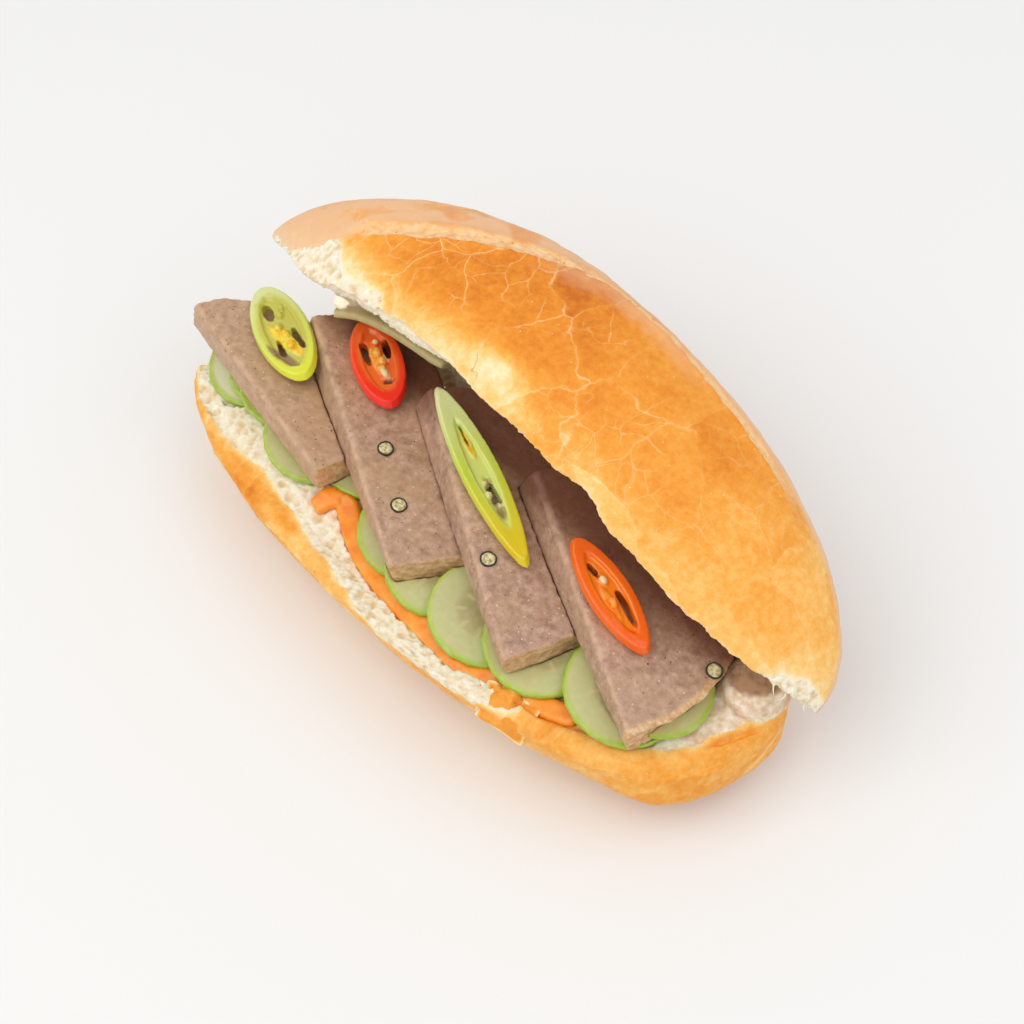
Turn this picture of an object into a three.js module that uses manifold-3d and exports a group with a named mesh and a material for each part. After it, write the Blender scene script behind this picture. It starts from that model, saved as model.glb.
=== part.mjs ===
// Banh mi: a short crusty loaf cut along one side and laid open like a clam, filled with four
// shingled slabs of pork roll, cucumber slices, a carrot ribbon and oblique slices of chilli.
// Millimetres, +Z up. +X runs along the loaf, -Y is the open mouth, and the origin is on the
// surface it rests on, under the middle of the loaf.
import * as THREE from 'three';
import { mergeVertices } from 'three/addons/utils/BufferGeometryUtils.js';
import Module from 'manifold-3d';

const wasm = await Module();
wasm.setup();

const CLEARANCE = 0.35; // gap kept between two pieces that touch
const DEGREE = Math.PI / 180;

// ---- driving sizes ------------------------------------------------------------------------

// The lower half, a boat hanging below its cut plane, in the plane's own axes.
const LOWER = {
  sign: -1, left: -118, right: 113, tipY: 4, tipZ: 29.5, tilt: -7 * DEGREE,
  front: { width: 50.5, widestX: 24, left: [1.5, 1.55], right: [3.6, 1.8] },
  back: { width: 35, widestX: -10, left: [1.8, 1.3], right: [2.2, 1.6] },
  depth: 32.5, depthFullness: [0.6, 0.33], roundness: 0.8, squareness: 0.78, rim: 7.5,
  dents: { share: 0.014, pitch: 14 }, wrinkles: { share: 0.008, perRadian: 22, wander: 20 },
};

// Below its front lip the crust swells out or draws in, and at the right end also reaches right.
const SWELLS = [
  { out: 10, right: 3, x: 98, spread: 17 },
  { out: -3.9, right: 0, x: 0, spread: 64 },
];

// A flake of crust stands off the front of the lower half, just under its lip.
const FLAKE = { lift: 1.2, x: 47, spread: 12, angle: 0.28, height: 0.2 };

// The loaf is left uncut at its right end, where crumb spans from one half to the other.
const UNCUT_END = { centre: [102.5, 5, 33], size: [10, 12, 13] };

// Height of the crumb bed in the lower half: lowest along the front lip, where the carrot lies.
// It rises to the cut plane over the last share of the width, its bank.
const BED = { low: 31.3, high: 34.3, lowY: -36, highY: -14, bank: 0.14 };

// The upper half, a dome standing on its cut plane, thrown open about a low hinge at the back.
const UPPER = {
  sign: 1, length: 233, centre: new THREE.Vector3(8.6, 21.1, 54.7),
  opening: 66.2 * DEGREE, yaw: -9.1 * DEGREE, rise: -6 * DEGREE,
  front: { width: 39.3, widestX: -23, left: [1.95, 1.55], right: [2.48, 1.51] },
  back: { width: 43.2, widestX: -8, left: [1.75, 1.45], right: [1.55, 2.3] },
  depth: 58.5, depthFullness: [0.95, 0.95], roundness: 0.9, squareness: 1, rim: 8, hollow: 12.8,
  dents: { share: 0.012, pitch: 16 },
};

// The lip of the upper half isn't in one plane: it is torn back on the left and hangs on the right.
const LIP_LIFT = [
  { height: 7.5, x: -34, spread: 40 },
  { height: -4.6, x: 56, spread: 30 },
];
const TORN_EDGE = { depth: 1.1, pitch: 7.5, band: 0.33 };
const PITS = { pitch: 6, depth: 0.5 }; // unevenness of the crumb

// The slash runs near the crown from the right and comes down the front as it nears the left tip.
// It bakes open into a torn groove with a raised ear on its front side. Angles are round the
// section from its front lip, and reach is its share of the half length.
const SLASH = {
  angle: 65 * DEGREE, drift: 40 * DEGREE, from: -2, over: 68, power: 1.3, reach: 0.86,
  ear: { height: 1.7, at: 0, spread: 4 * DEGREE },
  groove: { height: 1.2, at: 6 * DEGREE, spread: 4 * DEGREE },
};

const SLAB_EDGE = 1.3; // rounding of the long edges of a slab
const SLAB_END = { share: 0.013, height: 0.94 }; // and of its two ends
const SLABS = [
  {
    name: 'pork_slab_1', back: [-119.9, 11.5, 52.5], front: [-44.4, -16, 49.5],
    roll: [9, 14], width: 28, thick: 10.5, bevel: [1, -1.5], bow: 1.2,
    backCurve: [28, 2.6], frontCurve: [0, 1],
  },
  {
    name: 'pork_slab_2', back: [-80.6, 27.5, 57], front: [-4.2, -30.1, 49],
    roll: [15, 9], width: 35, thick: 11.3, bevel: [3, -3], bow: 1.6,
    backCurve: [14, 2.2], frontCurve: [-3.4, 1],
  },
  {
    name: 'pork_slab_3', back: [-29, 23.1, 60], front: [43.5, -37, 50.5],
    roll: [15, 11], width: 34, thick: 11.3, bevel: [3, -2.5], bow: 1.4,
    backCurve: [8, 2.2], frontCurve: [7, 1.3],
  },
  {
    name: 'pork_slab_4', back: [16.8, 15.7, 61], front: [86, -36, 48.5],
    roll: [15, 11], width: 43, thick: 11.5, bevel: [3, -2.5], bow: 1.2,
    backCurve: [8, 2.2], frontCurve: [20, 2.3],
  },
];

// ---- solids from points -------------------------------------------------------------------

function signedVolume(points, triangles) {
  let volume = 0;
  for (const [a, b, c] of triangles) {
    volume += points[a].dot(new THREE.Vector3().crossVectors(points[b], points[c])) / 6;
  }
  return volume;
}

// A closed geometry whose faces point out, whichever way round its triangles were listed.
function closedGeometry(points, triangles) {
  const outward = signedVolume(points, triangles) > 0;
  const order = triangles.flatMap(([a, b, c]) => (outward ? [a, b, c] : [a, c, b]));
  const geometry = new THREE.BufferGeometry();
  geometry.setAttribute('position', new THREE.Float32BufferAttribute(
    points.flatMap((p) => [p.x, p.y, p.z]), 3));
  geometry.setIndex(order);
  return geometry;
}

// Joins rings of equal count by bands and closes each end with a fan about the ring's middle.
function loft(rings) {
  const count = rings[0].length;
  const points = rings.flat();
  const triangles = [];
  for (let i = 0; i + 1 < rings.length; i += 1) {
    for (let j = 0; j < count; j += 1) {
      const a = i * count + j;
      const b = i * count + ((j + 1) % count);
      triangles.push([a, b, b + count], [a, b + count, a + count]);
    }
  }
  const last = (rings.length - 1) * count;
  for (const [start, flip] of [[0, true], [last, false]]) {
    const middle = new THREE.Vector3();
    for (let j = 0; j < count; j += 1) middle.add(points[start + j]);
    points.push(middle.divideScalar(count));
    const hub = points.length - 1;
    for (let j = 0; j < count; j += 1) {
      const a = start + j;
      const b = start + ((j + 1) % count);
      triangles.push(flip ? [hub, b, a] : [hub, a, b]);
    }
  }
  return closedGeometry(points, triangles);
}

function solid(geometry) {
  const bare = geometry.clone();
  bare.deleteAttribute('normal');
  bare.deleteAttribute('uv');
  const merged = mergeVertices(bare, 1e-4);
  return new wasm.Manifold(new wasm.Mesh({
    numProp: 3,
    vertProperties: new Float32Array(merged.attributes.position.array),
    triVerts: new Uint32Array(merged.index.array),
  }));
}

// A cut can leave crumbs behind: only the largest body of the result is the piece.
function largest(body) {
  const [main] = body.decompose().sort((a, b) => b.volume() - a.volume());
  return main;
}

function geometryOf(body) {
  const mesh = body.getMesh();
  const geometry = new THREE.BufferGeometry();
  geometry.setAttribute('position', new THREE.Float32BufferAttribute(mesh.vertProperties, 3));
  geometry.setIndex([...mesh.triVerts]);
  return geometry;
}

// A smooth hump of height 1.
function hump(x, middle, spread) {
  return Math.exp(-(((x - middle) / spread) ** 2));
}

// Smooth noise from sines with unrelated pitches, the same on every run.
function ripple(a, b, seed) {
  return (
    Math.sin(a * 1.0 + seed) * Math.cos(b * 1.3 + seed * 2.1)
    + 0.6 * Math.sin(a * 2.3 + b * 1.7 + seed * 3.7)
    + 0.35 * Math.sin(a * 4.1 - b * 3.1 + seed * 5.3)
  ) / 1.95;
}

// ---- bread --------------------------------------------------------------------------------

const STATIONS = 31; // sections along a half
const ARC_STEPS = 16; // faces round the crust of a section
const EAR_STEP = 6; // the edge between two faces that follows the ear of the slash
const BAND_STEP = 6 * DEGREE; // angle of each of the two faces behind it, across the torn band
const FLOOR_STEPS = 8; // and across its crumb
const TIP = 0.9985; // a half ends just short of a sharp point
const RIM_SHARE = 0.35; // the crumb's rim takes no more of the half width than this

// Share of its full width that a half has at x.
function taper(x, left, right, side) {
  const onLeft = x < side.widestX;
  const end = onLeft ? left : right;
  const reach = Math.min((x - side.widestX) / (end - side.widestX), TIP);
  const [power, root] = onLeft ? side.left : side.right;
  return (1 - reach ** power) ** (1 / root);
}

// Angle of the slash's ear round the section at x.
function slashAngle(x) {
  const drifted = Math.min(Math.max(0, SLASH.from - x) / SLASH.over, 1);
  return SLASH.angle - SLASH.drift * drifted ** SLASH.power;
}

// Angle of each edge round the crust: even below, and set out from the slash above.
function evenAngle(x, step) {
  return (step / ARC_STEPS) * Math.PI;
}

function slashedAngle(x, step) {
  const ear = slashAngle(x);
  if (step <= EAR_STEP) return (step / EAR_STEP) * ear;
  const band = EAR_STEP + 2;
  if (step <= band) return ear + (step - EAR_STEP) * BAND_STEP;
  const start = ear + 2 * BAND_STEP;
  return start + ((step - band) / (ARC_STEPS - band)) * (Math.PI - start);
}

// One half of the loaf in its own axes: the cut plane is z = 0 and the crust lies on the side
// that sign gives.
function halfLoaf(half, left, right, shape) {
  const { front, back, depthFullness: [leftPower, rightPower] } = half;
  const rings = [];
  for (let i = 0; i <= STATIONS; i += 1) {
    const crowded = Math.sin((i / STATIONS - 0.5) * Math.PI); // sections crowd towards the tips
    const x = (left + right) / 2 + ((right - left) / 2) * crowded * TIP;
    const tapers = [taper(x, left, right, front), taper(x, left, right, back)];
    const widths = [front.width * tapers[0], back.width * tapers[1]];
    const fullness = (tapers[0] + tapers[1]) / 2;
    const depth = half.depth * fullness ** THREE.MathUtils.mapLinear(x, left, right, leftPower, rightPower);
    const ring = [];
    for (let j = 0; j <= ARC_STEPS; j += 1) {
      const s = shape.angle(x, j);
      const width = s < Math.PI / 2 ? widths[0] : widths[1];
      const y = -width * Math.sign(Math.cos(s)) * Math.abs(Math.cos(s)) ** half.squareness;
      const z = half.sign * depth * Math.sin(s) ** half.roundness;
      ring.push(shape.crust(x, s, y, z, fullness));
    }
    const rims = widths.map((width) => Math.min(half.rim, width * RIM_SHARE));
    for (let j = 0; j <= FLOOR_STEPS; j += 1) {
      const u = Math.sin((0.5 - j / FLOOR_STEPS) * Math.PI);
      const y = u > 0 ? (widths[1] - rims[1]) * u : (widths[0] - rims[0]) * u;
      ring.push(shape.crumb(x, y, u, fullness));
    }
    rings.push(ring);
  }
  return loft(rings);
}

function lipLift(x) {
  return LIP_LIFT.reduce((sum, wave) => sum + wave.height * hump(x, wave.x, wave.spread), 0);
}

// How far the torn edge of the crust stands proud of or falls short of the cut plane.
function torn(x, seed) {
  return TORN_EDGE.depth * ripple((x / TORN_EDGE.pitch) * 2, 0, seed);
}

// Shallow dents over the crust, as a share of its size; s is the angle round the section.
function dented(half, x, s, seed) {
  return half.dents.share * ripple(x / half.dents.pitch, s * 3, seed);
}

function pitted(x, y, seed) {
  return PITS.depth * ripple(x / PITS.pitch, y / PITS.pitch, seed);
}

function upperHalf() {
  const half = UPPER;
  const end = half.length / 2;
  const { ear, groove } = SLASH;
  const upperShape = {
    angle: slashedAngle,
    crust(x, s, y, z, fullness) {
      const edge = hump(s, 0, TORN_EDGE.band) * (lipLift(x) * fullness + torn(x, 0.4));
      const along = Math.max(0, 1 - Math.abs(x / (end * SLASH.reach)) ** 6);
      const past = s - slashAngle(x);
      const slash = ear.height * hump(past, ear.at, ear.spread)
        - groove.height * hump(past, groove.at, groove.spread);
      const swell = 1 + (along * slash * fullness) / half.depth + dented(half, x, s, 1.3);
      return new THREE.Vector3(x, y * swell, z * swell + edge);
    },
    crumb(x, y, u, fullness) {
      const hollow = half.hollow * fullness * (1 - u * u);
      const lift = lipLift(x) * fullness * Math.sqrt((1 - u) / 2);
      return new THREE.Vector3(x, y, hollow + lift + pitted(x, y, 2.6));
    },
  };
  const geometry = halfLoaf(half, -end, end, upperShape);
  const turn = new THREE.Matrix4().makeRotationZ(half.yaw)
    .multiply(new THREE.Matrix4().makeRotationY(-half.rise))
    .multiply(new THREE.Matrix4().makeRotationX(-half.opening));
  geometry.applyMatrix4(turn.setPosition(half.centre));
  return solid(geometry);
}

function lowerHalf() {
  const half = LOWER;
  const { wrinkles } = half;
  const lowerShape = {
    angle: evenAngle,
    crust(x, s, y, z, fullness) {
      const edge = hump(s, 0, TORN_EDGE.band) * torn(x, 3.1);
      const flake = FLAKE.lift * hump(x, FLAKE.x, FLAKE.spread) * hump(s, FLAKE.angle, FLAKE.height);
      const below = Math.max(0, Math.sin(2 * s));
      let [out, right] = [0, 0];
      for (const swelling of SWELLS) {
        const share = below * hump(x, swelling.x, swelling.spread);
        out += share * swelling.out * fullness;
        right += share * swelling.right;
      }
      const wander = 2 * ripple(x / wrinkles.wander, 0, 1);
      const wrinkle = wrinkles.share * Math.sin(s * wrinkles.perRadian + wander);
      const swell = 1 + dented(half, x, s, 4.2) + wrinkle;
      return new THREE.Vector3(x + right, y * swell - out - flake, z * swell + edge);
    },
    crumb(x, y, u, fullness) {
      const planeZ = half.tipZ - y * Math.tan(-half.tilt);
      const share = THREE.MathUtils.smoothstep(y + half.tipY, BED.lowY, BED.highY);
      const bed = BED.low + (BED.high - BED.low) * share - planeZ;
      const inside = THREE.MathUtils.smoothstep(1 - Math.abs(u), 0, BED.bank) * Math.min(1, fullness * 1.6);
      return new THREE.Vector3(x, y, bed * inside + pitted(x, y, 5.2));
    },
  };
  const geometry = halfLoaf(half, half.left, half.right, lowerShape);
  const turn = new THREE.Matrix4().makeRotationX(half.tilt);
  geometry.applyMatrix4(turn.setPosition(0, half.tipY, half.tipZ));
  return solid(geometry);
}

// ---- pork roll ----------------------------------------------------------------------------

// Axes of a slab at a share of its length: along it, across its top from left to right, and out
// of its top.
function slabFrame(slab, share, bowed = true) {
  const back = new THREE.Vector3(...slab.back);
  const front = new THREE.Vector3(...slab.front);
  const along = front.clone().sub(back);
  const length = along.length();
  along.normalize();
  const level = new THREE.Vector3(0, 0, 1).cross(along).normalize();
  const upright = along.clone().cross(level);
  const roll = (slab.roll[0] + (slab.roll[1] - slab.roll[0]) * share) * DEGREE;
  const across = level.clone().multiplyScalar(Math.cos(roll)).addScaledVector(upright, -Math.sin(roll));
  const out = level.clone().multiplyScalar(Math.sin(roll)).addScaledVector(upright, Math.cos(roll));
  const origin = back.clone().addScaledVector(along, length * share);
  if (bowed) origin.addScaledVector(upright, slab.bow * 4 * share * (1 - share));
  return { origin, along, across, out, length };
}

// A point given in a slab's own terms: millimetres from its back edge, from its left edge, and
// above its top.
function onSlab(slab, distance, side, height) {
  const { length } = slabFrame(slab, 0);
  const frame = slabFrame(slab, distance / length);
  return frame.origin.addScaledVector(frame.across, side).addScaledVector(frame.out, height);
}

// Section of a slab, run round its rectangle with cut corners: [across, height].
function slabSection(slab, grow) {
  const { width, thick } = slab;
  const sides = [0, 0.3, 0.6, 0.85, 1].map((q) => SLAB_EDGE + (width - 2 * SLAB_EDGE) * q);
  return [
    ...sides.map((side) => [side, grow]),
    [width + grow, -SLAB_EDGE], [width + grow, -thick + SLAB_EDGE],
    ...sides.reverse().map((side) => [side, -thick - grow]),
    [-grow, -thick + SLAB_EDGE], [-grow, -SLAB_EDGE],
  ];
}

function slabGeometry(slab, grow = 0) {
  const section = slabSection(slab, grow);
  const { length } = slabFrame(slab, 0);
  const [backReach, backPower] = slab.backCurve;
  const [frontReach, frontPower] = slab.frontCurve;
  const middle = -slab.thick / 2;
  const shares = [0, SLAB_END.share, 0.15, 0.3, 0.45, 0.6, 0.75, 0.88, 1 - SLAB_END.share, 1];
  const rings = shares.map((share) => {
    const inset = share === 0 || share === 1 ? SLAB_END.height : 1;
    const bevel = slab.bevel[0] + (slab.bevel[1] - slab.bevel[0]) * share ** 2;
    return section.map(([offset, height]) => {
      const side = offset + (bevel * height) / slab.thick;
      const q = Math.min(1, Math.max(0, side / slab.width));
      const start = backReach * q ** backPower - grow;
      const stop = length - frontReach * q ** frontPower + grow;
      const distance = start + (stop - start) * share;
      return onSlab(slab, distance, side, middle + (height - middle) * inset);
    });
  });
  return loft(rings);
}

// ---- peppercorns --------------------------------------------------------------------------

// Half a peppercorn pressed into the top of a slab, cut side up, with a raised rind round it:
// [radius, height above the slab].
const PEPPERCORN_PROFILE = [[1.4, -1], [2.1, 0], [1.9, 0.5], [1.1, 0.25]];

function peppercorn(slab, distance, side) {
  return loft(PEPPERCORN_PROFILE.map(([radius, height]) => circle(8).map(([c, s]) => (
    onSlab(slab, distance + radius * c, side + radius * s, height)))));
}

function circle(count) {
  return Array.from({ length: count }, (_, i) => {
    const angle = (i / count) * 2 * Math.PI;
    return [Math.cos(angle), Math.sin(angle)];
  });
}

// at is the middle, in millimetres along and across the slab.
const PEPPERCORNS = [
  { slab: 1, at: [56.6, 9.9] }, { slab: 1, at: [77.2, 8.7] },
  { slab: 2, at: [63, 4] }, { slab: 3, at: [74, 31] },
];

// ---- chilli -------------------------------------------------------------------------------

// Oblique slices of hollow chilli pods. at is the middle, in millimetres along and across the
// slab that carries it; lean raises the right-hand side; point is 1 for a blunt oval outline and
// less for one that runs to a point. holes are [along, across, length, width] and seeds are
// [along, across], from the middle of the slice.
const CHILLIES = [
  {
    name: 'chilli_green_ring', slab: 0, at: [30.5, 17.4], yaw: -9, length: 43, width: 18.5, thick: 4.2,
    lean: 17, point: 0.95, wall: 3, holes: [[-9.5, -1.5, 8, 3.6], [4.5, 3.4, 10, 2.2], [5.5, -2.6, 8, 2]],
    seeds: [[-6, 1.5], [-2, -0.5], [2, 0.8], [7, 0.6], [-9, 3]], colour: 0xb7c63a,
  },
  {
    name: 'chilli_red_ring', slab: 1, at: [26.2, 15], yaw: 0, length: 37, width: 17, thick: 4.6,
    lean: 6, point: 0.92, wall: 3.2, holes: [[-5, -2.8, 7.5, 2.2], [-4, 3.4, 8, 1.8]],
    seeds: [[-7, 0.8], [-3, 0.3], [1, 1.2], [3.5, 0.2], [6, 0.8]], colour: 0xd8331a,
  },
  {
    name: 'chilli_yellow_long', slab: 2, at: [35.5, 8], yaw: 10.5, length: 70, width: 12.5, thick: 4,
    lean: 4, point: 0.72, wall: 3, holes: [[-15, 0.4, 8, 1.1], [9, 0.8, 12, 1.9]],
    seeds: [[4, 0.4], [8, -0.6], [12.5, 0.4]], colour: 0xbfc73a,
  },
  {
    name: 'chilli_orange_long', slab: 3, at: [46.2, 8.2], yaw: 13, length: 42, width: 13.5, thick: 4.2,
    lean: 4, point: 0.78, wall: 2.6, holes: [[-9, -0.6, 4.5, 1.4], [5, 1.8, 13, 1.5]],
    seeds: [[-4.5, 0.2], [3, -0.9]], colour: 0xe2601c,
  },
];

const CHILLI_RIM = 0.93; // a slice's cut edges are rounded in by this
const CHILLI_FLOOR = 0.72; // its middle is hollowed down to this share of its thickness
const SEED = { length: 3.4, width: 2.5 };

// Puts a chilli's own terms (along it, across it, above its underside) onto its slab.
function chilliPlacer(chilli) {
  const yaw = chilli.yaw * DEGREE;
  const lean = chilli.lean * DEGREE;
  return (u, v, h) => {
    const across = v * Math.cos(lean) - h * Math.sin(lean);
    const up = h * Math.cos(lean) + (v + chilli.width / 2) * Math.sin(lean) + CLEARANCE;
    const distance = chilli.at[0] + u * Math.cos(yaw) - across * Math.sin(yaw);
    const side = chilli.at[1] + u * Math.sin(yaw) + across * Math.cos(yaw);
    return onSlab(SLABS[chilli.slab], distance, side, up);
  };
}

// An upright prism with a lens-shaped outline, through levels of [height, share of full size].
function lens(place, [u, v], length, width, power, levels, count) {
  return loft(levels.map(([height, size]) => circle(count).map(([c, s]) => place(
    u + (length / 2) * size * Math.sign(c) * Math.abs(c) ** power,
    v + (width / 2) * size * Math.sign(s) * Math.abs(s) ** power * (1 - 0.35 * (1 - power) * c * c),
    height))));
}

// The whole slice before its middle is hollowed, or the slice grown by a clearance.
function chilliOuter(chilli, grow = 0) {
  const t = chilli.thick;
  const rim = [[-grow, CHILLI_RIM], [t * 0.5, 1], [t + grow, CHILLI_RIM]];
  const [length, width] = [chilli.length + 2 * grow, chilli.width + 2 * grow];
  return solid(lens(chilliPlacer(chilli), [0, 0], length, width, 2 - chilli.point, rim, 16));
}

function chilliBody(chilli) {
  const place = chilliPlacer(chilli);
  const t = chilli.thick;
  const inner = 1 - (2 * chilli.wall) / chilli.width;
  const [hollowLength, hollowWidth] = [chilli.length * (inner + 0.16), chilli.width * inner];
  const hollowLevels = [[t * CHILLI_FLOOR, 0.8], [t + 2, 1.1]];
  const hollow = lens(place, [0, 0], hollowLength, hollowWidth, 2 - chilli.point, hollowLevels, 14);
  let body = chilliOuter(chilli).subtract(solid(hollow));
  for (const [u, v, length, width] of chilli.holes) {
    body = body.subtract(solid(lens(place, [u, v], length, width, 1.1, [[-2, 1], [t + 3, 1]], 8)));
  }
  const seedLevels = [[t * 0.4, 0.8], [t * 0.85, 1], [t * 1.05, 0.6]];
  for (const at of chilli.seeds) {
    body = body.add(solid(lens(place, at, SEED.length, SEED.width, 1, seedLevels, 6)));
  }
  return largest(body);
}

// ---- cucumber -----------------------------------------------------------------------------

// Round slices shingled along the front of the bed, each with its left edge up on the one before.
// A chord is where a slice is cut straight, that far behind its middle.
const SLICE = { thick: 2.4, sides: 20, bevel: 0.4, uneven: 0.02, sag: 0.5 };
const CUCUMBERS = [
  { at: [-97, 14.5, 32.6], tilt: 8, radius: 18, chord: 2 },
  { at: [-91, 13, 35.4], tilt: 9, radius: 14.5, chord: 5 },
  { at: [-80.5, 11.9, 36], tilt: 10, radius: 17.5, chord: 10 },
  { at: [-60, 1, 36.3], tilt: 9, radius: 18 },
  { at: [-40.5, 5.7, 36.6], tilt: 9, radius: 18 },
  { at: [-11, -10.2, 36.6], tilt: 9, radius: 18 },
  { at: [3.4, -16.5, 36.6], tilt: 9, radius: 17 },
  { at: [24.8, -20.9, 36.9], tilt: 9, radius: 18 },
  { at: [44.6, -20, 37.2], tilt: 9, radius: 18 },
  { at: [73.3, -18.6, 37.2], tilt: 9, radius: 18.5 },
  { at: [81, -13.5, 38.6], tilt: 9, radius: 16.5 },
];

function cucumberGeometry(slice, seed, grow = 0) {
  const { radius, chord = radius * 2 } = slice;
  const half = SLICE.thick / 2 + grow;
  const face = radius - SLICE.bevel + grow;
  const levels = [[-half, face], [0, radius + grow], [half, face]];
  const tilt = slice.tilt * DEGREE;
  const rings = levels.map(([height, r]) => circle(SLICE.sides).map(([c, s]) => {
    const uneven = 1 + SLICE.uneven * ripple(c * 2, s * 2, seed);
    const x = r * uneven * c;
    const h = height + SLICE.sag * ripple(c * 1.5, s * 1.5, seed + 9);
    return new THREE.Vector3(
      slice.at[0] + x * Math.cos(tilt) + h * Math.sin(tilt),
      slice.at[1] + Math.min(r * uneven * s, chord + grow),
      slice.at[2] - x * Math.sin(tilt) + h * Math.cos(tilt),
    );
  }));
  return loft(rings);
}

// ---- ribbons: the carrot, and the long cucumber slice behind the meat ----------------------

const CARROT_HEIGHT = 33.2; // middle of the carrot where it lies on the bed
const RIBBON = { step: 4.5, endWidth: 0.72, corner: [0.82, 0.55] };
// path is the middle line, and lean raises the side towards the back.
const RIBBONS = [
  {
    name: 'carrot_ribbon_1', colour: 'carrot', width: 6.4, thick: 2.6, lean: 12,
    path: [
      [-44, -19.5, 34], [-41.8, -15.2, 35.4], [-38.2, -12.6, 35.6], [-34.4, -14.8, 34.4],
      [-28.5, -19.6, 33.6], [-20.9, -24.2, CARROT_HEIGHT], [-10.9, -28.4, CARROT_HEIGHT],
      [0.5, -31.8, CARROT_HEIGHT], [10.3, -34.4, CARROT_HEIGHT], [19.2, -36.6, CARROT_HEIGHT],
      [28.5, -38, CARROT_HEIGHT], [36.6, -37.8, CARROT_HEIGHT], [43, -36.6, CARROT_HEIGHT],
    ],
  },
  {
    name: 'carrot_ribbon_2', colour: 'carrot', width: 5.5, thick: 2.4, lean: 8,
    path: [[49, -36.2, 33.4], [54, -35.6, 33.2], [59, -34.6, 33.2], [66, -33, 33.4]],
  },
  {
    name: 'cucumber_long', colour: 'cucumber', width: 9, thick: 3, lean: -38,
    path: [[-72, 29.5, 61.5], [-65, 33.5, 61], [-53, 35, 60.5], [-41, 34.6, 60], [-29, 33.2, 60]],
  },
];

function ribbonGeometry(ribbon, grow = 0) {
  const points = ribbon.path.map((p) => new THREE.Vector3(...p));
  const curve = new THREE.CatmullRomCurve3(points, false, 'centripetal');
  const steps = Math.max(8, Math.round(curve.getLength() / RIBBON.step));
  const [cornerWidth, cornerHeight] = RIBBON.corner;
  const lean = ribbon.lean * DEGREE;
  const rings = [];
  for (let i = 0; i <= steps; i += 1) {
    const share = i / steps;
    const point = curve.getPointAt(share);
    const along = curve.getTangentAt(share);
    const level = new THREE.Vector3(0, 0, 1).cross(along).normalize();
    const upright = along.clone().cross(level);
    const side = level.clone().multiplyScalar(Math.cos(lean)).addScaledVector(upright, Math.sin(lean));
    const out = upright.clone().multiplyScalar(Math.cos(lean)).addScaledVector(level, -Math.sin(lean));
    const end = Math.min(1, RIBBON.endWidth + 5 * Math.min(share, 1 - share));
    const w = (ribbon.width / 2) * end + grow;
    const t = (ribbon.thick / 2) * (0.9 + 0.1 * end) + grow;
    const [cw, ct] = [w * cornerWidth, t * cornerHeight];
    if (i === 0) point.addScaledVector(along, -grow);
    if (i === steps) point.addScaledVector(along, grow);
    const section = [[w, -ct], [w, ct], [cw, t], [-cw, t], [-w, ct], [-w, -ct], [-cw, -t], [cw, -t]];
    rings.push(section.map(([a, b]) => point.clone().addScaledVector(side, a).addScaledVector(out, b)));
  }
  return loft(rings);
}

// ---- assembly -----------------------------------------------------------------------------

const slabRoom = SLABS.map((slab) => solid(slabGeometry(slab, CLEARANCE)));
const sliceRoom = CUCUMBERS.map((slice, i) => solid(cucumberGeometry(slice, i, CLEARANCE)));
const chilliRoom = CHILLIES.map((chilli) => chilliOuter(chilli, CLEARANCE));
const ribbonRoom = RIBBONS.map((ribbon) => solid(ribbonGeometry(ribbon, CLEARANCE)));

// Cuts the room that other pieces need out of a body, and keeps its main piece.
function clearOf(body, rooms) {
  return largest(rooms.reduce((left, room) => left.subtract(room), body));
}

// A block far larger than the loaf, below the surface that the part rests on.
const GROUND = { side: 600, depth: 200 };
const ground = solid(new THREE.BoxGeometry(GROUND.side, GROUND.side, GROUND.depth)
  .translate(0, 0, -GROUND.depth / 2));

function bread() {
  const end = new THREE.SphereGeometry(1, 20, 12).scale(...UNCUT_END.size).translate(...UNCUT_END.centre);
  const loaf = lowerHalf().add(upperHalf()).add(solid(end)).subtract(ground);
  return clearOf(loaf, [...slabRoom, ...sliceRoom, ...ribbonRoom]);
}

const COLOURS = {
  bread: 0xd9a05a, pork: 0x9a7f78, cucumber: 0xb9c58f, carrot: 0xe8791d,
};

const group = new THREE.Group();

function addPiece(name, body, colour, roughness) {
  const geometry = geometryOf(body);
  const material = new THREE.MeshStandardMaterial({ color: colour, roughness, metalness: 0 });
  const mesh = new THREE.Mesh(geometry, material);
  mesh.name = name;
  group.add(mesh);
}

addPiece('bread', bread(), COLOURS.bread, 0.7);
SLABS.forEach((slab, i) => {
  let body = clearOf(solid(slabGeometry(slab)), slabRoom.slice(i + 1, i + 2));
  for (const { at } of PEPPERCORNS.filter((corn) => corn.slab === i)) {
    body = body.add(solid(peppercorn(slab, ...at)));
  }
  addPiece(slab.name, body, COLOURS.pork, 0.55);
});
for (const chilli of CHILLIES) {
  addPiece(chilli.name, clearOf(chilliBody(chilli), slabRoom), chilli.colour, 0.3);
}
CUCUMBERS.forEach((slice, i) => {
  const body = clearOf(solid(cucumberGeometry(slice, i)), [...slabRoom, ...sliceRoom.slice(i + 1)]);
  addPiece(`cucumber_slice_${i + 1}`, body, COLOURS.cucumber, 0.35);
});
for (const ribbon of RIBBONS) {
  const body = clearOf(solid(ribbonGeometry(ribbon)), [...slabRoom, ...sliceRoom, ...chilliRoom]);
  addPiece(ribbon.name, body, COLOURS[ribbon.colour], 0.4);
}

export default group;
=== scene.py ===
"""The finished surfaces of a banh mi: loaf, pork roll, cucumber, carrot and chilli."""

import math
from functools import partial

import bmesh
import bpy
import numpy as np
from mathutils import Matrix, Vector, noise
from mathutils.bvhtree import BVHTree


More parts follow.
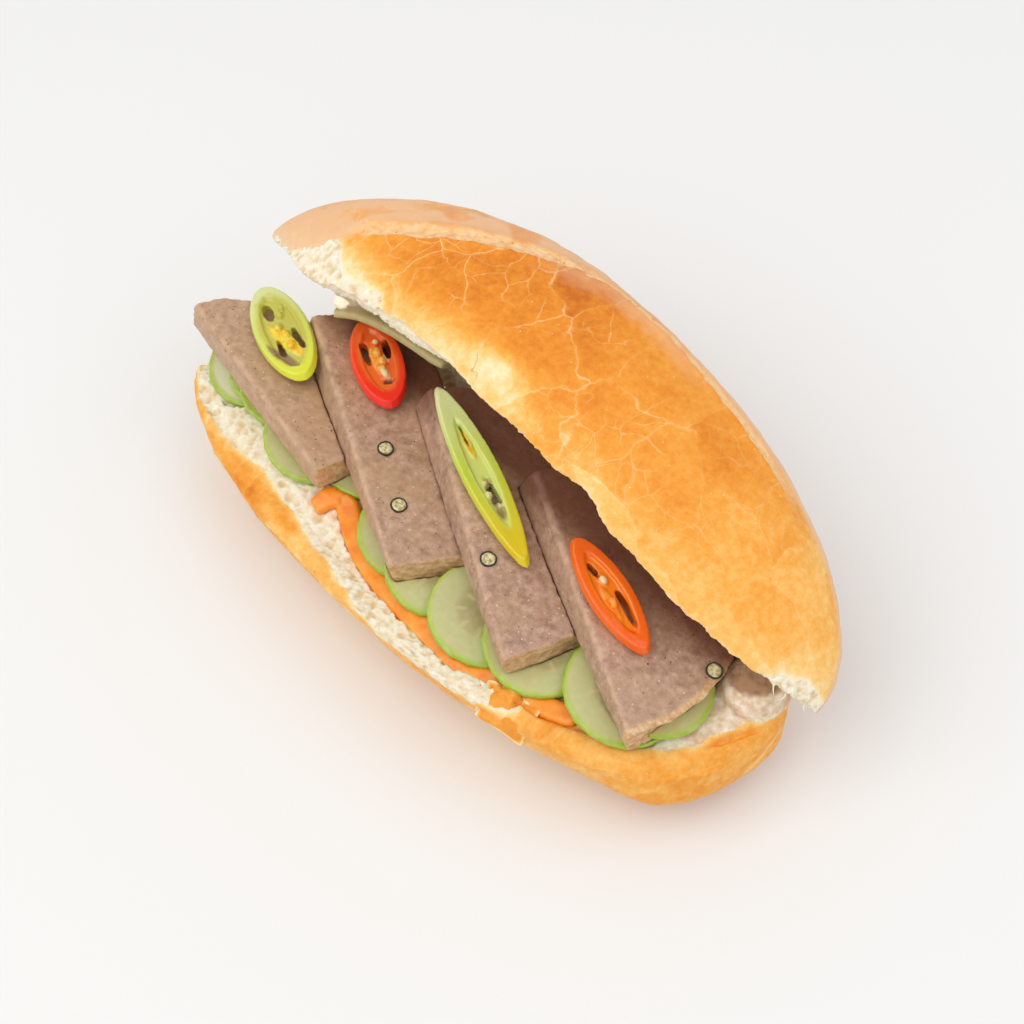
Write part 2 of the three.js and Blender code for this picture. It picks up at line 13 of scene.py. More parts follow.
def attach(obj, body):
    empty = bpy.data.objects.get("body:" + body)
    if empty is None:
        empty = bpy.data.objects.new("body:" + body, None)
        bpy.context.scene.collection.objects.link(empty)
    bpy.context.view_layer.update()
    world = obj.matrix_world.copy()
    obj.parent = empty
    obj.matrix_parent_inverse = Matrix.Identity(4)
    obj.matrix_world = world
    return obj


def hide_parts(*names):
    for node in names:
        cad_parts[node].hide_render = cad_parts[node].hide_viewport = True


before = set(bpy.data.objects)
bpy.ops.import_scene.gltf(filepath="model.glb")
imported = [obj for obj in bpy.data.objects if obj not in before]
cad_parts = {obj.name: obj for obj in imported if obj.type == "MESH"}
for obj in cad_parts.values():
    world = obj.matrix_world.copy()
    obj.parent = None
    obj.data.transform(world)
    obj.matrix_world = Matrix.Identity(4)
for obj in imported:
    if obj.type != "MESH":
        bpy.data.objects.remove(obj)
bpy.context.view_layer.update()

# ---- The loaf's surface ----
# A short loaf of wheat dough, slashed once along its crown and baked until its thin crust
# crackles. It is cut along one side and thrown open, so that the crumb shows along both lips.

MM = 0.001
BREAD_PITCH = 0.6  # spacing of the points that carry the loaf's surface

# Each half in its own axes: x along it, z away from the cut, and the front lip towards -y.
UPPER_HALF = (
    Matrix.Translation((8.6, 21.1, 54.7))
    @ Matrix.Rotation(math.radians(-9.1), 4, "Z")
    @ Matrix.Rotation(math.radians(6), 4, "Y")
    @ Matrix.Rotation(math.radians(-66.2), 4, "X")
)
LOWER_HALF = Matrix.Translation((0, 4, 29.5)) @ Matrix.Rotation(math.radians(-7), 4, "X")
CUT_FACING = -0.45  # hull faces that look this far towards the cut aren't crust
CRUST_FACING = 0.6  # a point that looks this far along the hull is crust
CRUST_DENT = 5  # unless it is further in than this
HINGE_FACING = (0.35, 0.94, 0)  # the way the baked outside of the hinge looks
HINGE_TURN = 0.45  # its faces look at least this far that way
MIDDLE_LINE = (-70, 80)  # the ends of the line that the loaf's outline is round
LIP_TURN = 0.15  # the lip's faces look at least this far away from that line


def edges_of(faces):
    """Each edge of four-sided faces once, as a pair of points."""
    sides = np.vstack([faces[:, [i, (i + 1) % 4]] for i in range(4)])
    return np.unique(np.sort(sides, axis=1), axis=0)


def even_surface(node, pitch):
    """A node's solid as evenly spread points, in millimetres, four-sided faces and their edges."""
    source = bpy.data.objects.new("source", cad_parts[node].data)
    bpy.context.scene.collection.objects.link(source)
    remesh = source.modifiers.new("even", "REMESH")
    remesh.mode = "VOXEL"
    remesh.voxel_size = pitch * MM
    graph = bpy.context.evaluated_depsgraph_get()
    mesh = bpy.data.meshes.new_from_object(source.evaluated_get(graph))
    bpy.data.objects.remove(source)
    points = np.empty(len(mesh.vertices) * 3)
    mesh.vertices.foreach_get("co", points)
    faces = np.empty(len(mesh.loops), int)
    mesh.loops.foreach_get("vertex_index", faces)
    bpy.data.meshes.remove(mesh)
    faces = faces.reshape(-1, 4)
    return points.reshape(-1, 3) / MM, faces, edges_of(faces)


def averaged(values, edges, count):
    """Each point's mean over its neighbours, of one value or of several columns."""
    if values.ndim == 2:
        return np.stack([averaged(column, edges, count) for column in values.T], axis=1)
    total = np.bincount(edges[:, 0], values[edges[:, 1]], len(values))
    total += np.bincount(edges[:, 1], values[edges[:, 0]], len(values))
    return total / count


def relaxed(values, edges, rounds, share=0.5):
    """Values or points drawn towards their neighbours' mean, by a share in each round."""
    count = np.maximum(np.bincount(edges.ravel(), minlength=len(values)), 1)
    for _ in range(rounds):
        values = values + (averaged(values, edges, count) - values) * share
    return values


def normals_of(points, faces):
    """The outward direction at each point."""
    across = points[faces[:, 2]] - points[faces[:, 0]]
    normal = np.cross(across, points[faces[:, 3]] - points[faces[:, 1]])
    total = np.zeros_like(points)
    for corner in range(4):
        for axis in range(3):
            total[:, axis] += np.bincount(faces[:, corner], normal[:, axis], len(points))
    return total / np.maximum(np.linalg.norm(total, axis=1, keepdims=True), 1e-9)


def faired(points, edges, rounds):
    """Points smoothed without shrinking: drawn in and let out again in each round."""
    for _ in range(rounds):
        points = relaxed(relaxed(points, edges, 1), edges, 1, -0.53)
    return points


def patch_sizes(chosen, edges):
    """How many points each chosen point's connected patch has."""
    label = np.arange(len(chosen))
    first, second = edges[chosen[edges].all(axis=1)].T
    while True:
        lowest = label.copy()
        np.minimum.at(lowest, first, label[second])
        np.minimum.at(lowest, second, label[first])
        lowest = lowest[lowest]
        if (lowest == label).all():
            return np.bincount(label, chosen, len(chosen))[label]
        label = lowest


def seen_from(half, points):
    """Points in a half's own axes."""
    turn = np.array(half.inverted())
    return points @ turn[:3, :3].T + turn[:3, 3]


def cloudy(points, pitch, seed, octaves=3):
    """Soft noise, mostly from -1 to 1, whose patches are about pitch millimetres across."""
    shift = Vector((seed * 17.3, seed * 5.9, seed * 11.1))
    return np.array([noise.fractal(Vector(p) + shift, 1, 2, octaves) for p in points / pitch])


def drifting(points, pitch, seed, octaves=3):
    """Soft noise in each of the three directions."""
    return np.stack([cloudy(points, pitch, seed + axis, octaves) for axis in range(3)], axis=1)


def to_nearest(points, pitch, seed):
    """Distance in pitches to the nearest of some centres scattered about a pitch apart."""
    shift = np.array((seed * 7.7, seed * 3.1, seed * 13.7))
    return np.array([noise.voronoi(Vector(p))[0][0] for p in points / pitch + shift])


def smoothstep(values, low, high):
    """0 up to low and 1 from high, with a soft rise between."""
    share = np.clip((values - low) / (high - low), 0, 1)
    return share * share * (3 - 2 * share)


def hump(values, middle, spread):
    """1 at the middle, and soft slopes on both sides."""
    return np.exp(-(((values - middle) / spread) ** 2))


def in_upper(points):
    """Whether each point belongs to the upper half, whose front lip droops below its cut."""
    _, across, rise = seen_from(UPPER_HALF, points).T
    return (rise > -1) | ((rise > -8) & (across < -15))


def shell_distance(points, normals, half):
    """How far each point of a half lies inside the crust that the half was baked with."""
    solid = np.array([v.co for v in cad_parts["bread"].data.vertices]) / MM
    if half is UPPER_HALF:
        own = solid[in_upper(solid)]
    else:
        own = solid[~in_upper(solid) & (seen_from(LOWER_HALF, solid)[:, 2] < 0.5)]
    away = half.to_3x3() @ Vector((0, 0, 1 if half is UPPER_HALF else -1))
    hull = bmesh.new()
    for point in np.unique(own.round(3), axis=0):
        hull.verts.new(point)
    bmesh.ops.convex_hull(hull, input=hull.verts)
    hull.normal_update()
    cut_side = [f for f in hull.faces if f.normal @ away < CUT_FACING]
    bmesh.ops.delete(hull, geom=cut_side, context="FACES_ONLY")
    tree = BVHTree.FromBMesh(hull)
    inside = np.empty(len(points))
    for i, (point, normal) in enumerate(zip(points, normals)):
        _, facing, _, distance = tree.find_nearest(Vector(point))
        on_crust = facing @ Vector(normal) > CRUST_FACING and distance < CRUST_DENT
        inside[i] = 0 if on_crust else distance
    hull.free()
    return inside


dough, dough_faces, dough_edges = even_surface("bread", BREAD_PITCH)
dough = relaxed(dough, dough_edges, 4)
outward = normals_of(dough, dough_faces)
upper = in_upper(dough)
inside = np.zeros(len(dough))
inside[upper] = shell_distance(dough[upper], outward[upper], UPPER_HALF)
inside[~upper] = shell_distance(dough[~upper], outward[~upper], LOWER_HALF)

along, across, rise = seen_from(UPPER_HALF, dough).T
low_along, low_across, low_rise = seen_from(LOWER_HALF, dough).T
turn = np.degrees(np.arctan2(rise, -across))  # 0 at the front lip, 90 at the crown
on_hinge = ~upper & (low_rise > -1) & (outward @ HINGE_FACING > HINGE_TURN)
inside[on_hinge] = 0
torn_side = ~upper & ~on_hinge & (low_rise > 1)
inside[torn_side] = np.maximum(inside[torn_side], 2 * low_rise[torn_side] - 2)
from_middle = np.stack([along - np.clip(along, *MIDDLE_LINE), across], axis=1)
from_middle /= np.maximum(np.linalg.norm(from_middle, axis=1, keepdims=True), 1e-6)
sideways = (outward @ np.array(UPPER_HALF.to_3x3())[:, :2] * from_middle).sum(axis=1)
inside[upper & (across < -6) & (sideways > LIP_TURN)] = 0
inside = relaxed(inside, dough_edges, 3)

# The crust wraps in over the lower lip, except where a stretch of it is torn down, and the
# upper lip has lost its crust towards both ends. Each is (place, height or reach, spread).
FOLDED_IN = ((-64, 8, 29), (-28, 2.6, 12), (61, 11, 9), (82, 6.5, 15), (102, 4, 9))
TORN_DOWN = (18, 3.4, 18)
BARE_LIP = ((-81, 9.5, 9), (-56, 7, 14), (111, 3.4, 6))
WHOLE_LIP = (-34, 100)  # the upper lip keeps its crust between these
LEAST_CRUMB = 900  # points in the smallest patch of bare crumb
LEAST_CRUST = 3000  # and of crust
folded = sum(reach * hump(low_along, place, spread) for place, reach, spread in FOLDED_IN)
folded = np.where(~upper & (low_across < 0), folded, 0.0)
torn_down = TORN_DOWN[1] * hump(low_along, TORN_DOWN[0], TORN_DOWN[2])
torn_down = np.where(~upper & (low_across < 0), torn_down * smoothstep(low_rise, -4.5, -1), 0.0)
bare_height = 1.2 + sum(height * hump(along, place, spread) for place, height, spread in BARE_LIP)
tear = cloudy(dough, 6, 1) * 1.1 + cloudy(dough, 2, 2, 2) * 0.5
bare = upper & (across < 0) & ((along < WHOLE_LIP[0]) | (along > WHOLE_LIP[1]))
bare &= rise + 1.6 * tear < bare_height
soft = bare | (inside + torn_down + tear > 1 + folded)
soft &= patch_sizes(soft, dough_edges) > LEAST_CRUMB
soft |= ~soft & (patch_sizes(~soft, dough_edges) < LEAST_CRUST)
crumb = relaxed(soft.astype(float), dough_edges, 2)

# Facets are smoothed out of the crust, but not out of its edges, and it keeps its fullness.
SMOOTHINGS = 60
well_in = relaxed((crumb < 0.01).astype(float), dough_edges, 8) ** 4
faceted = dough
for _ in range(SMOOTHINGS):
    dough = dough + (relaxed(dough, dough_edges, 1) - dough) * well_in[:, None]
shrunk = ((faceted - dough) * outward).sum(axis=1)
dough += outward * (relaxed(shrunk, dough_edges, SMOOTHINGS) * well_in)[:, None]

# The shoulder of the folded crust is rounded down, and the torn rim of each lip is uneven: the
# upper one wanders towards and away from the cut, as (place, distance, spread).
SHOULDER_DROP = 2.2
SET_BACK = 3  # how far the crumb is pressed in behind the upper lip
LIP_LINE = (
    (-80, -3, 13), (-42, -3, 21), (20, 3.6, 22), (37, 4, 8.5), (56, 2.7, 11), (76, -1.2, 6),
    (97, -2.4, 14),
)
TATTERS = ((0.9, 3.2, 3, 3), (0.5, 1.3, 4, 2))  # of a rim: (height, pitch, seed, octaves)
away_from_cut = np.where(upper[:, None], UPPER_HALF.to_3x3().col[2], -LOWER_HALF.to_3x3().col[2])
shoulder = np.clip(1 - inside / np.maximum(folded + 1, 1), 0, 1) ** 2 * smoothstep(folded, 0.5, 3)
lip_level = np.where(upper, 1 - smoothstep(rise, 2.5, 5.5), smoothstep(low_rise, -5.5, -1.5))
dough += away_from_cut * (SHOULDER_DROP * shoulder * lip_level)[:, None]
lip_shift = sum(distance * hump(along, place, spread) for place, distance, spread in LIP_LINE)
within = upper * smoothstep(inside, 1, 5)
by_lip = upper * (1 - smoothstep(rise, 1, 12)) * smoothstep(-across, 4, 14) * (1 - within)
cut_face = within * smoothstep(-across, -22, -8)
set_back = SET_BACK * smoothstep(along, WHOLE_LIP[0], WHOLE_LIP[0] + 30)
set_back *= 1 - smoothstep(along, WHOLE_LIP[1], WHOLE_LIP[1] + 10)
dough += away_from_cut * (lip_shift * by_lip + (lip_shift + set_back) * cut_face)[:, None]
rim = hump(inside, 0.6, 1.3) * lip_level
rim = rim * np.where(upper & (along > -30), 0.45, 1)
tatters = sum(height * cloudy(dough, *kind) for height, *kind in TATTERS)
dough += away_from_cut * (rim * tatters)[:, None]

# The slash: its raised ear comes down the front towards the left, with a torn band behind it.
# Turn, drop and the band's widths are degrees round the loaf.
EAR = {"turn": 73, "drop": 38, "from": -2, "over": 70, "power": 1.3}
BAND = {"narrow": 8.5, "wide": 13}
down_front = np.clip((EAR["from"] - along) / EAR["over"], 0, 1.2)
ear_turn = EAR["turn"] - EAR["drop"] * down_front ** EAR["power"]
band = BAND["narrow"] + (BAND["wide"] - BAND["narrow"]) * smoothstep(-along, 5, 60)
past = (turn - ear_turn) / band  # 0 on the ear, 1 where the band meets the far side
ragged = past + 0.12 * cloudy(dough, 5, 9)
slashed = upper * smoothstep(along, -86, -72) * (1 - smoothstep(along, 60, 78))
in_slash = slashed * smoothstep(ragged, -0.08, 0.04) * (1 - smoothstep(ragged, 0.85, 1.15))
stretched = np.stack([along * 0.15, across, rise], axis=1)
strands = cloudy(stretched, 2.2, 6) + 0.4 * cloudy(dough, 1.4, 7, 2)

# Crust: broad shallow dents, long folds on the lower half, and the torn, uplifted slash.
DENTS = ((0.36, 16, 5), (0.13, 5, 10), (0.05, 2.2, 8))  # (depth, pitch, seed)
FOLD_HEIGHT = 0.4
SLASH_DEPTH = 0.5
EAR_HEIGHT = 1.1
outward = normals_of(dough, dough_faces)
relief = sum(depth * cloudy(dough, pitch, seed) for depth, pitch, seed in DENTS)
folds = FOLD_HEIGHT * cloudy(dough * (0.25, 1, 1), 3.5, 18) * smoothstep(-low_along, -20, 40)
relief = relief + np.where(upper, 0, folds)
ear = slashed * hump(past, -0.02, 0.16) * (0.7 + 0.5 * cloudy(dough, 7, 19, 2))
torn_open = in_slash * (0.5 * strands - SLASH_DEPTH)
crust_relief = relief * (1 - in_slash) + torn_open + EAR_HEIGHT * ear

# Crumb: round pores of several sizes in a soft, uneven bed, and a smooth web at the uncut end.
PORES = ((4.2, 0.9, 11), (2.3, 0.6, 12), (1.5, 0.35, 13))  # (pitch, depth, seed)
web = np.where(upper, 0, smoothstep(low_along, 82, 94) * smoothstep(low_rise, -1.5, 1.5))
# Painted shadow: the crumb above the web, under the upper half, is painted tan-grey as its shade.
soaked = web * smoothstep(low_rise + 0.8 * tear, 10, 12)
web = web - soaked
pores = np.zeros(len(dough))
inner = crumb > 0.02
for pitch, depth, seed in PORES:
    shifted = dough[inner] + drifting(dough[inner], 2.5, seed + 20, 2) * 0.8
    nearest = to_nearest(shifted, pitch, seed)
    pores[inner] += depth * (1 - smoothstep(nearest, 0.12, 0.48))
rough = cloudy(dough, 1.3, 15, 3)
crumb_relief = 0.5 * cloudy(dough, 6, 14) + (0.42 * rough - 0.8 * pores) * (1 - 0.85 * web)
dough = dough + outward * (crust_relief * (1 - crumb) + crumb_relief * crumb)[:, None]
dough[:, 2] = np.maximum(dough[:, 2], 0)

# How far each patch of crust is baked: pale by the lips, deep gold up to the slash, dusty behind,
# with a painted sheen round the slash.
# Pale patches are (along, turn, length, spread, strength).
PALE_PATCHES = (
    (-26, 14, 11, 8, 0.18),
    (-8, 20, 8, 7, 0.44),
    (3, 11, 7, 7, 0.2),
    (-50, 13, 14, 6, 0.1),
    (104, 12, 10, 14, 0.12),
)
TORN_PALE = 0.55  # how much paler the crust is where it is torn off from the crumb
LIP_BAKE = 0.47  # 0 is the palest crust and 1 the darkest
CROWN_BAKE = 0.87
LOWER_BAKE = 0.46
blotches = 0.09 * cloudy(dough, 17, 16) + 0.05 * cloudy(dough, 5, 17)
lip_bake = LIP_BAKE - 0.3 * smoothstep(-along, 34, 66)
high_bake = CROWN_BAKE - 0.2 * smoothstep(along, -5, 32) - 0.2 * smoothstep(along, 45, 92)
high_bake -= 0.14 * smoothstep(along, 98, 112) + 0.22 * smoothstep(-along, 45, 75)
upper_bake = lip_bake + (high_bake - lip_bake) * smoothstep(turn, 8, 34)
for place, angle, length, spread, strength in PALE_PATCHES:
    upper_bake -= strength * hump(along, place, length) * hump(turn, angle, spread)
lower_blotches = 0.24 * cloudy(dough * (0.5, 1, 1), 7, 20)
lower_bake = LOWER_BAKE + 0.07 * smoothstep(low_along, 10, 80) + 0.06 * smoothstep(-low_along, 20, 60)
lower_bake = lower_bake + lower_blotches * (1 - smoothstep(low_along, 30, 90) * 0.6)
bake = np.where(upper, upper_bake, lower_bake) + blotches
bake = np.clip(bake - TORN_PALE * relaxed(crumb, dough_edges, 20), 0, 1)
# Painted sheen: the pale streak in front of the slash, the paler far side and the left tip stand for the
# white sky reflected off the crust. The far side also has real flour dust.
left_end = 1 - smoothstep(along + 4 * cloudy(dough, 9, 21), -83, -76)
in_front = smoothstep(past + 0.2 * tear, -0.95, -0.2) * (1 - smoothstep(past, 0.2, 0.5)) * 0.5
in_front *= smoothstep(along, -32, -12) * (1 - smoothstep(along, 18, 40))
behind = smoothstep(past, 0.7, 1.3)
thin_dust = smoothstep(cloudy(dough, 11, 22), 0, 0.5) * (0.15 + 0.4 * smoothstep(-along, 0, 50))
dust = np.where(upper, np.clip(np.max([behind, in_front, left_end], axis=0), 0, 1), 0)
dust = np.maximum(dust, np.where(upper, smoothstep(turn, 84, 96), smoothstep(low_across, 4, 24) * 0.7))
dust = dust * (1 - thin_dust * (turn > 40))


def build_piece(name, node, points, faces, material, slot, **fields):
    """A smooth mesh that takes a node's place and stores fields at its points."""
    used, renumbered = np.unique(faces, return_inverse=True)
    mesh = bpy.data.meshes.new(name)
    mesh.from_pydata(points[used] * MM, [], renumbered.reshape(faces.shape))
    mesh.shade_smooth()
    for field, values in fields.items():
        kind, into = ("FLOAT_VECTOR", "vector") if values.ndim == 2 else ("FLOAT", "value")
        mesh.attributes.new(field, kind, "POINT").data.foreach_set(into, values[used].ravel())
    mesh.materials.append(material)
    made = bpy.data.objects.new(name, mesh)
    bpy.context.scene.collection.objects.link(made)
    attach(made, "root")
    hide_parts(node)


# ---- Crust ----
# The skin of the loaf: starch and sugar browned to gold, satin where it is smooth, crackled by
# cooling, dusty with flour behind the slash, painted with a pale sheen round it, and torn open to
# paler strands inside it.


def linear(colour):
    """An sRGB hex colour as linear red, green, blue and alpha."""
    parts = [int(colour[i : i + 2], 16) / 255 for i in (1, 3, 5)]
    return [p / 12.92 if p <= 0.04045 else ((p + 0.055) / 1.055) ** 2.4 for p in parts] + [1]


def set_inputs(node, inputs):
    """Gives inputs, by name or in order, their values, hex colours or other nodes' outputs."""
    for name, given in inputs.items() if isinstance(inputs, dict) else enumerate(inputs):
        if isinstance(given, bpy.types.NodeSocket):
            node.id_data.links.new(given, node.inputs[name])
        else:
            node.inputs[name].default_value = linear(given) if isinstance(given, str) else given


def add_node(tree, kind, inputs=(), output=0, stops=(), **settings):
    """Adds a node and returns one of its outputs. A ramp's stops are each (place, colour)."""
    made = tree.nodes.new("ShaderNode" + kind)
    for name, value in settings.items():
        setattr(made, name, value)
    set_inputs(made, inputs)
    while stops and len(made.color_ramp.elements) < len(stops):
        made.color_ramp.elements.new(0.5)
    for i, (place, colour) in enumerate(stops):
        made.color_ramp.elements[i].position = place
        made.color_ramp.elements[i].color = linear(colour)
    return made.outputs[output]


def set_shader(material, **inputs):
    """Sets the material's shader, with _ for each space in an input's name."""
    spaced = {name.replace("_", " "): given for name, given in inputs.items()}
    set_inputs(material.node_tree.nodes["Principled BSDF"], spaced)


def new_material(name, fields=(), **constants):
    """A material, what adds nodes to it, the place on the piece, and the fields stored there."""
    material = bpy.data.materials.new(name)
    material.use_nodes = True
    set_shader(material, **constants)
    add = partial(add_node, material.node_tree)
    stored = [add("Attribute", output="Fac", attribute_name=field) for field in fields]
    return material, add, add("TexCoord", output="Object"), *stored


def per_mm(pitch):
    """The texture scale that gives a pattern this pitch in millimetres."""
    return 1 / (pitch * MM)


def laid_over(add, colour, *layers):
    """A colour with others laid over it in turn, each as (share, colour)."""
    for share, layer in layers:
        colour = add("Mix", {0: share, 6: colour, 7: layer}, 2, data_type="RGBA")
    return colour


def specks(add, place, pitch, size, share):
    """Round specks of a size, both in millimetres, in a share of the cells of a pitch."""
    cells = add("TexVoronoi", {"Scale": per_mm(pitch), "Vector": place})
    spot = add("MapRange", (cells, 0.5 * size / pitch, size / pitch, 1, 0))
    chance = add("SeparateColor", (cells.node.outputs["Color"],))
    shown = add("Math", (chance, share), operation="LESS_THAN")
    return add("Math", (spot, shown), operation="MULTIPLY")


def pushed(add, place, pitch, detail, reach):
    """A place carried up to about half of a reach in millimetres by noise of a pitch."""
    noise_at = add("TexNoise", {"Scale": per_mm(pitch), "Detail": detail, "Vector": place}, "Color")
    return add("VectorMath", (noise_at, (reach * MM,) * 3, place), operation="MULTIPLY_ADD")


PLATE = 22  # the width of a plate between two cracks
FINE_PLATE = 8


def crack(add, place, pitch, core, edge):
    """1 on the borders between plates of a pitch and 0 beyond their edge, in millimetres."""
    on = {"Scale": per_mm(pitch), "Vector": place}
    border = add("TexVoronoi", on, voronoi_dimensions="2D", feature="DISTANCE_TO_EDGE")
    return add("MapRange", (border, core / pitch, edge / pitch, 1, 0))


def baked_crust():
    """Pale cream to deep gold, with faint pale cracks between plates of slightly different gold."""
    material, add, place, bake, dust, slash, crackled = new_material(
        "baked_wheat_crust", ("bake", "dust", "slash", "crackle"), IOR=1.45, Specular_IOR_Level=0.3,
    )
    skin = add("Attribute", output="Vector", attribute_name="skin")
    wavering = pushed(add, pushed(add, skin, 16, 2, 13), 3, 3, 2.2)
    on_plate = {"Scale": per_mm(PLATE), "Vector": wavering}
    plates = add("TexVoronoi", on_plate, "Color", voronoi_dimensions="2D")
    fade, mottle, fine, grain = (
        add("TexNoise", {"Scale": per_mm(pitch), "Detail": detail, "Roughness": rough, "Vector": place})
        for pitch, detail, rough in ((17, 3, 0.5), (2.2, 6, 0.68), (2, 4, 0.5), (0.8, 4, 0.6))
    )
    beside = add("Math", (crack(add, wavering, PLATE, 0, 2.5), crackled), operation="MULTIPLY")
    for shift in (
        (mottle, 0.25, 0.75, -0.14, 0.14),
        (add("SeparateColor", (plates,)), 0, 1, -0.09, 0.09),
        (beside, 0, 1, 0, -0.05),
    ):
        bake = add("Math", (bake, add("MapRange", shift)))
    browned = add("ValToRGB", (bake,), stops=(
        (0.0, "#f8edd4"), (0.16, "#fae0aa"), (0.36, "#fac36c"), (0.58, "#f3a43e"), (0.8, "#e68a24"),
        (1.0, "#cc6c16"),
    ))
    # Cracks are (pitch, core, edge, how they fade in and out over the loaf).
    wide_line, fine_line, dark_line = (
        add("Math", (crack(add, wavering, *sizes), add("MapRange", (fade, *shown))), operation="MULTIPLY")
        for *sizes, shown in (
            (PLATE, 0.08, 0.36, (0.4, 0.56, 0.08, 0.55)),
            (FINE_PLATE, 0.05, 0.28, (0.46, 0.58, 0, 0.4)),
            (PLATE, 0.04, 0.16, (0.55, 0.62, 0, 0.5)),
        )
    )
    lines, dark_line, dusted, torn_open, sparkle, holes = (
        add("Math", shares, operation="MULTIPLY")
        for shares in (
            (add("Math", (wide_line, fine_line)), crackled),
            (dark_line, crackled),
            (dust, add("MapRange", (mottle, 0.3, 0.7, 0.72, 1))),
            (slash, add("MapRange", (fine, 0.25, 0.6, 0.35, 1))),
            (specks(add, place, 2.6, 0.3, 0.3), add("MapRange", (fade, 0.3, 0.6, 0.2, 0.7))),
            (specks(add, place, 2.6, 0.6, 0.3), slash),
        )
    )
    # The pale tan laid on by the dust field is flour dust and also a painted sheen of the sky on the
    # crust.
    colour = laid_over(
        add, browned, (dusted, "#edbf92"), (torn_open, "#f9cf98"), (sparkle, "#fbdcae"),
        (holes, "#dd9748"), (lines, "#fcd596"), (dark_line, "#a9621f"),
    )
    height = add("Math", (grain, lines))
    set_shader(
        material,
        Base_Color=colour,
        Roughness=add("MapRange", (mottle, 0.3, 0.7, 0.42, 0.62)),
        Normal=add("Bump", {"Strength": 0.3, "Distance": 0.25 * MM, "Height": height}),
    )
    return material


def wheat_crumb():
    """Soft, matt and creamy, with light that goes a little way in; painted shade darkens its pores and
    the crumb under the upper half.
    """
    material, add, place, pore, web, soaked = new_material(
        "open_wheat_crumb", ("pore", "web", "soaked"), Subsurface_Weight=0.3,
        Subsurface_Scale=1.5 * MM, Specular_IOR_Level=0.2, Roughness=0.85,
    )
    soft, fluff, fibres = (
        add("TexNoise", {"Scale": per_mm(pitch), "Detail": detail, "Roughness": rough, "Vector": place})
        for pitch, detail, rough in ((2, 5, 0.65), (4, 5, 0.6), (0.6, 4, 0.7))
    )
    tone = add("ValToRGB", (soft,), stops=((0.3, "#f0ddb8"), (0.5, "#f8ecd2"), (0.68, "#fdf8ea")))
    web_tone = add("ValToRGB", (fluff,), stops=((0.35, "#d4ac8c"), (0.5, "#ead0b2"), (0.62, "#fbf0e0")))
    # Painted shade: the pores are painted a deeper cream, and the crumb under the upper half a shadowed
    # tan.
    colour = laid_over(add, tone, (pore, "#e2c493"), (web, web_tone), (soaked, "#ae8868"))
    bump = add("Bump", {"Strength": 0.55, "Distance": 0.35 * MM, "Height": fibres})
    set_shader(material, Base_Color=colour, Normal=bump)
    return material


SKIN_RADIUS = 38  # about the loaf's own, for measuring round it
crust_material = baked_crust()
crumb_material = wheat_crumb()
crackle = np.where(upper, 1 - 0.6 * smoothstep(along, 20, 70), 0.4) * (1 - in_slash) * (1 - 0.6 * dust)
arc = np.where(upper, turn, np.degrees(np.arctan2(low_rise, -low_across)))
skin_place = np.stack([along, np.radians(arc) * SKIN_RADIUS, np.zeros(len(dough))], axis=1) * MM
face_crumb = crumb[dough_faces].mean(axis=1) > 0.5
face_upper = upper[dough_faces].mean(axis=1) > 0.5
face_behind = turn[dough_faces].mean(axis=1) > 90
baked = {"bake": bake, "dust": dust, "slash": in_slash, "crackle": crackle, "skin": skin_place}
torn = {"pore": np.clip(pores / 1.2, 0, 1), "web": web * 0.8, "soaked": soaked}
for name, chosen, material, fields in (
    ("upper_crust_front", face_upper & ~face_crumb & ~face_behind, crust_material, baked),
    ("upper_crust_back", face_upper & ~face_crumb & face_behind, crust_material, baked),
    ("lower_crust", ~face_upper & ~face_crumb, crust_material, baked),
    ("upper_crumb", face_upper & face_crumb, crumb_material, torn),
    ("lower_crumb", ~face_upper & face_crumb, crumb_material, torn),
):
    build_piece(name, "bread", dough, dough_faces[chosen], material, "bread", **fields)

# ---- Torn crust and crumbs ----
# What tearing the loaf open left behind: a flake of crust that stands off the lower lip, shreds
# of crumb that hang from the upper half's right end, and a lump of crumb under its left tip.


def joined(parts):
    """Several (points, faces) as one."""
    points, faces, count = [], [], 0
    for part_points, part_faces in parts:
        points.append(part_points)
        faces.append(part_faces + count)
        count += len(part_points)
    return np.vstack(points), np.vstack(faces)


def blob(centre, size, seed, rough=0.3, steps=12):
    """A small uneven lump: a cube rounded onto an ellipsoid."""
    cube = bmesh.new()
    bmesh.ops.create_cube(cube, size=2)
    bmesh.ops.subdivide_edges(cube, edges=cube.edges[:], cuts=steps, use_grid_fill=True)
    ball = np.array([v.co.normalized() for v in cube.verts])
    faces = np.array([[v.index for v in f.verts] for f in cube.faces])
    cube.free()
    ball = ball * (1 + rough * cloudy(ball, 0.9, seed, 3))[:, None]
    return ball * size + centre, faces


def tube_faces(rings, sides):
    """The faces between neighbouring rings of points, side by side."""
    side = np.arange(sides)
    following = np.roll(side, -1)
    first = np.stack([side, following, following + sides, side + sides], axis=1)
    return np.vstack([first + ring * sides for ring in range(rings - 1)])


def shred(path, width, seed):
    """A thin strand of crumb along a path that narrows to its end."""
    path = np.array(path, float)
    steps, sides = 10, 6
    places = np.linspace(0, len(path) - 1, steps)
    middle = np.stack([np.interp(places, range(len(path)), path[:, i]) for i in range(3)], axis=1)
    middle += drifting(middle, 2, seed, 2) * 0.35
    radius = width * np.linspace(1, 0.25, steps) * (1 + 0.3 * cloudy(middle, 1.2, seed + 5, 2))
    angles = np.arange(sides) * 2 * np.pi / sides
    ring = np.stack([np.cos(angles), np.sin(angles), 0.5 * np.sin(angles)], axis=1)
    points = (middle[:, None] + radius[:, None, None] * ring[None]).reshape(-1, 3)
    return points, tube_faces(steps, sides)


def on_half(half, place):
    """A point given in a half's own axes."""
    return np.array(half @ Vector(place))


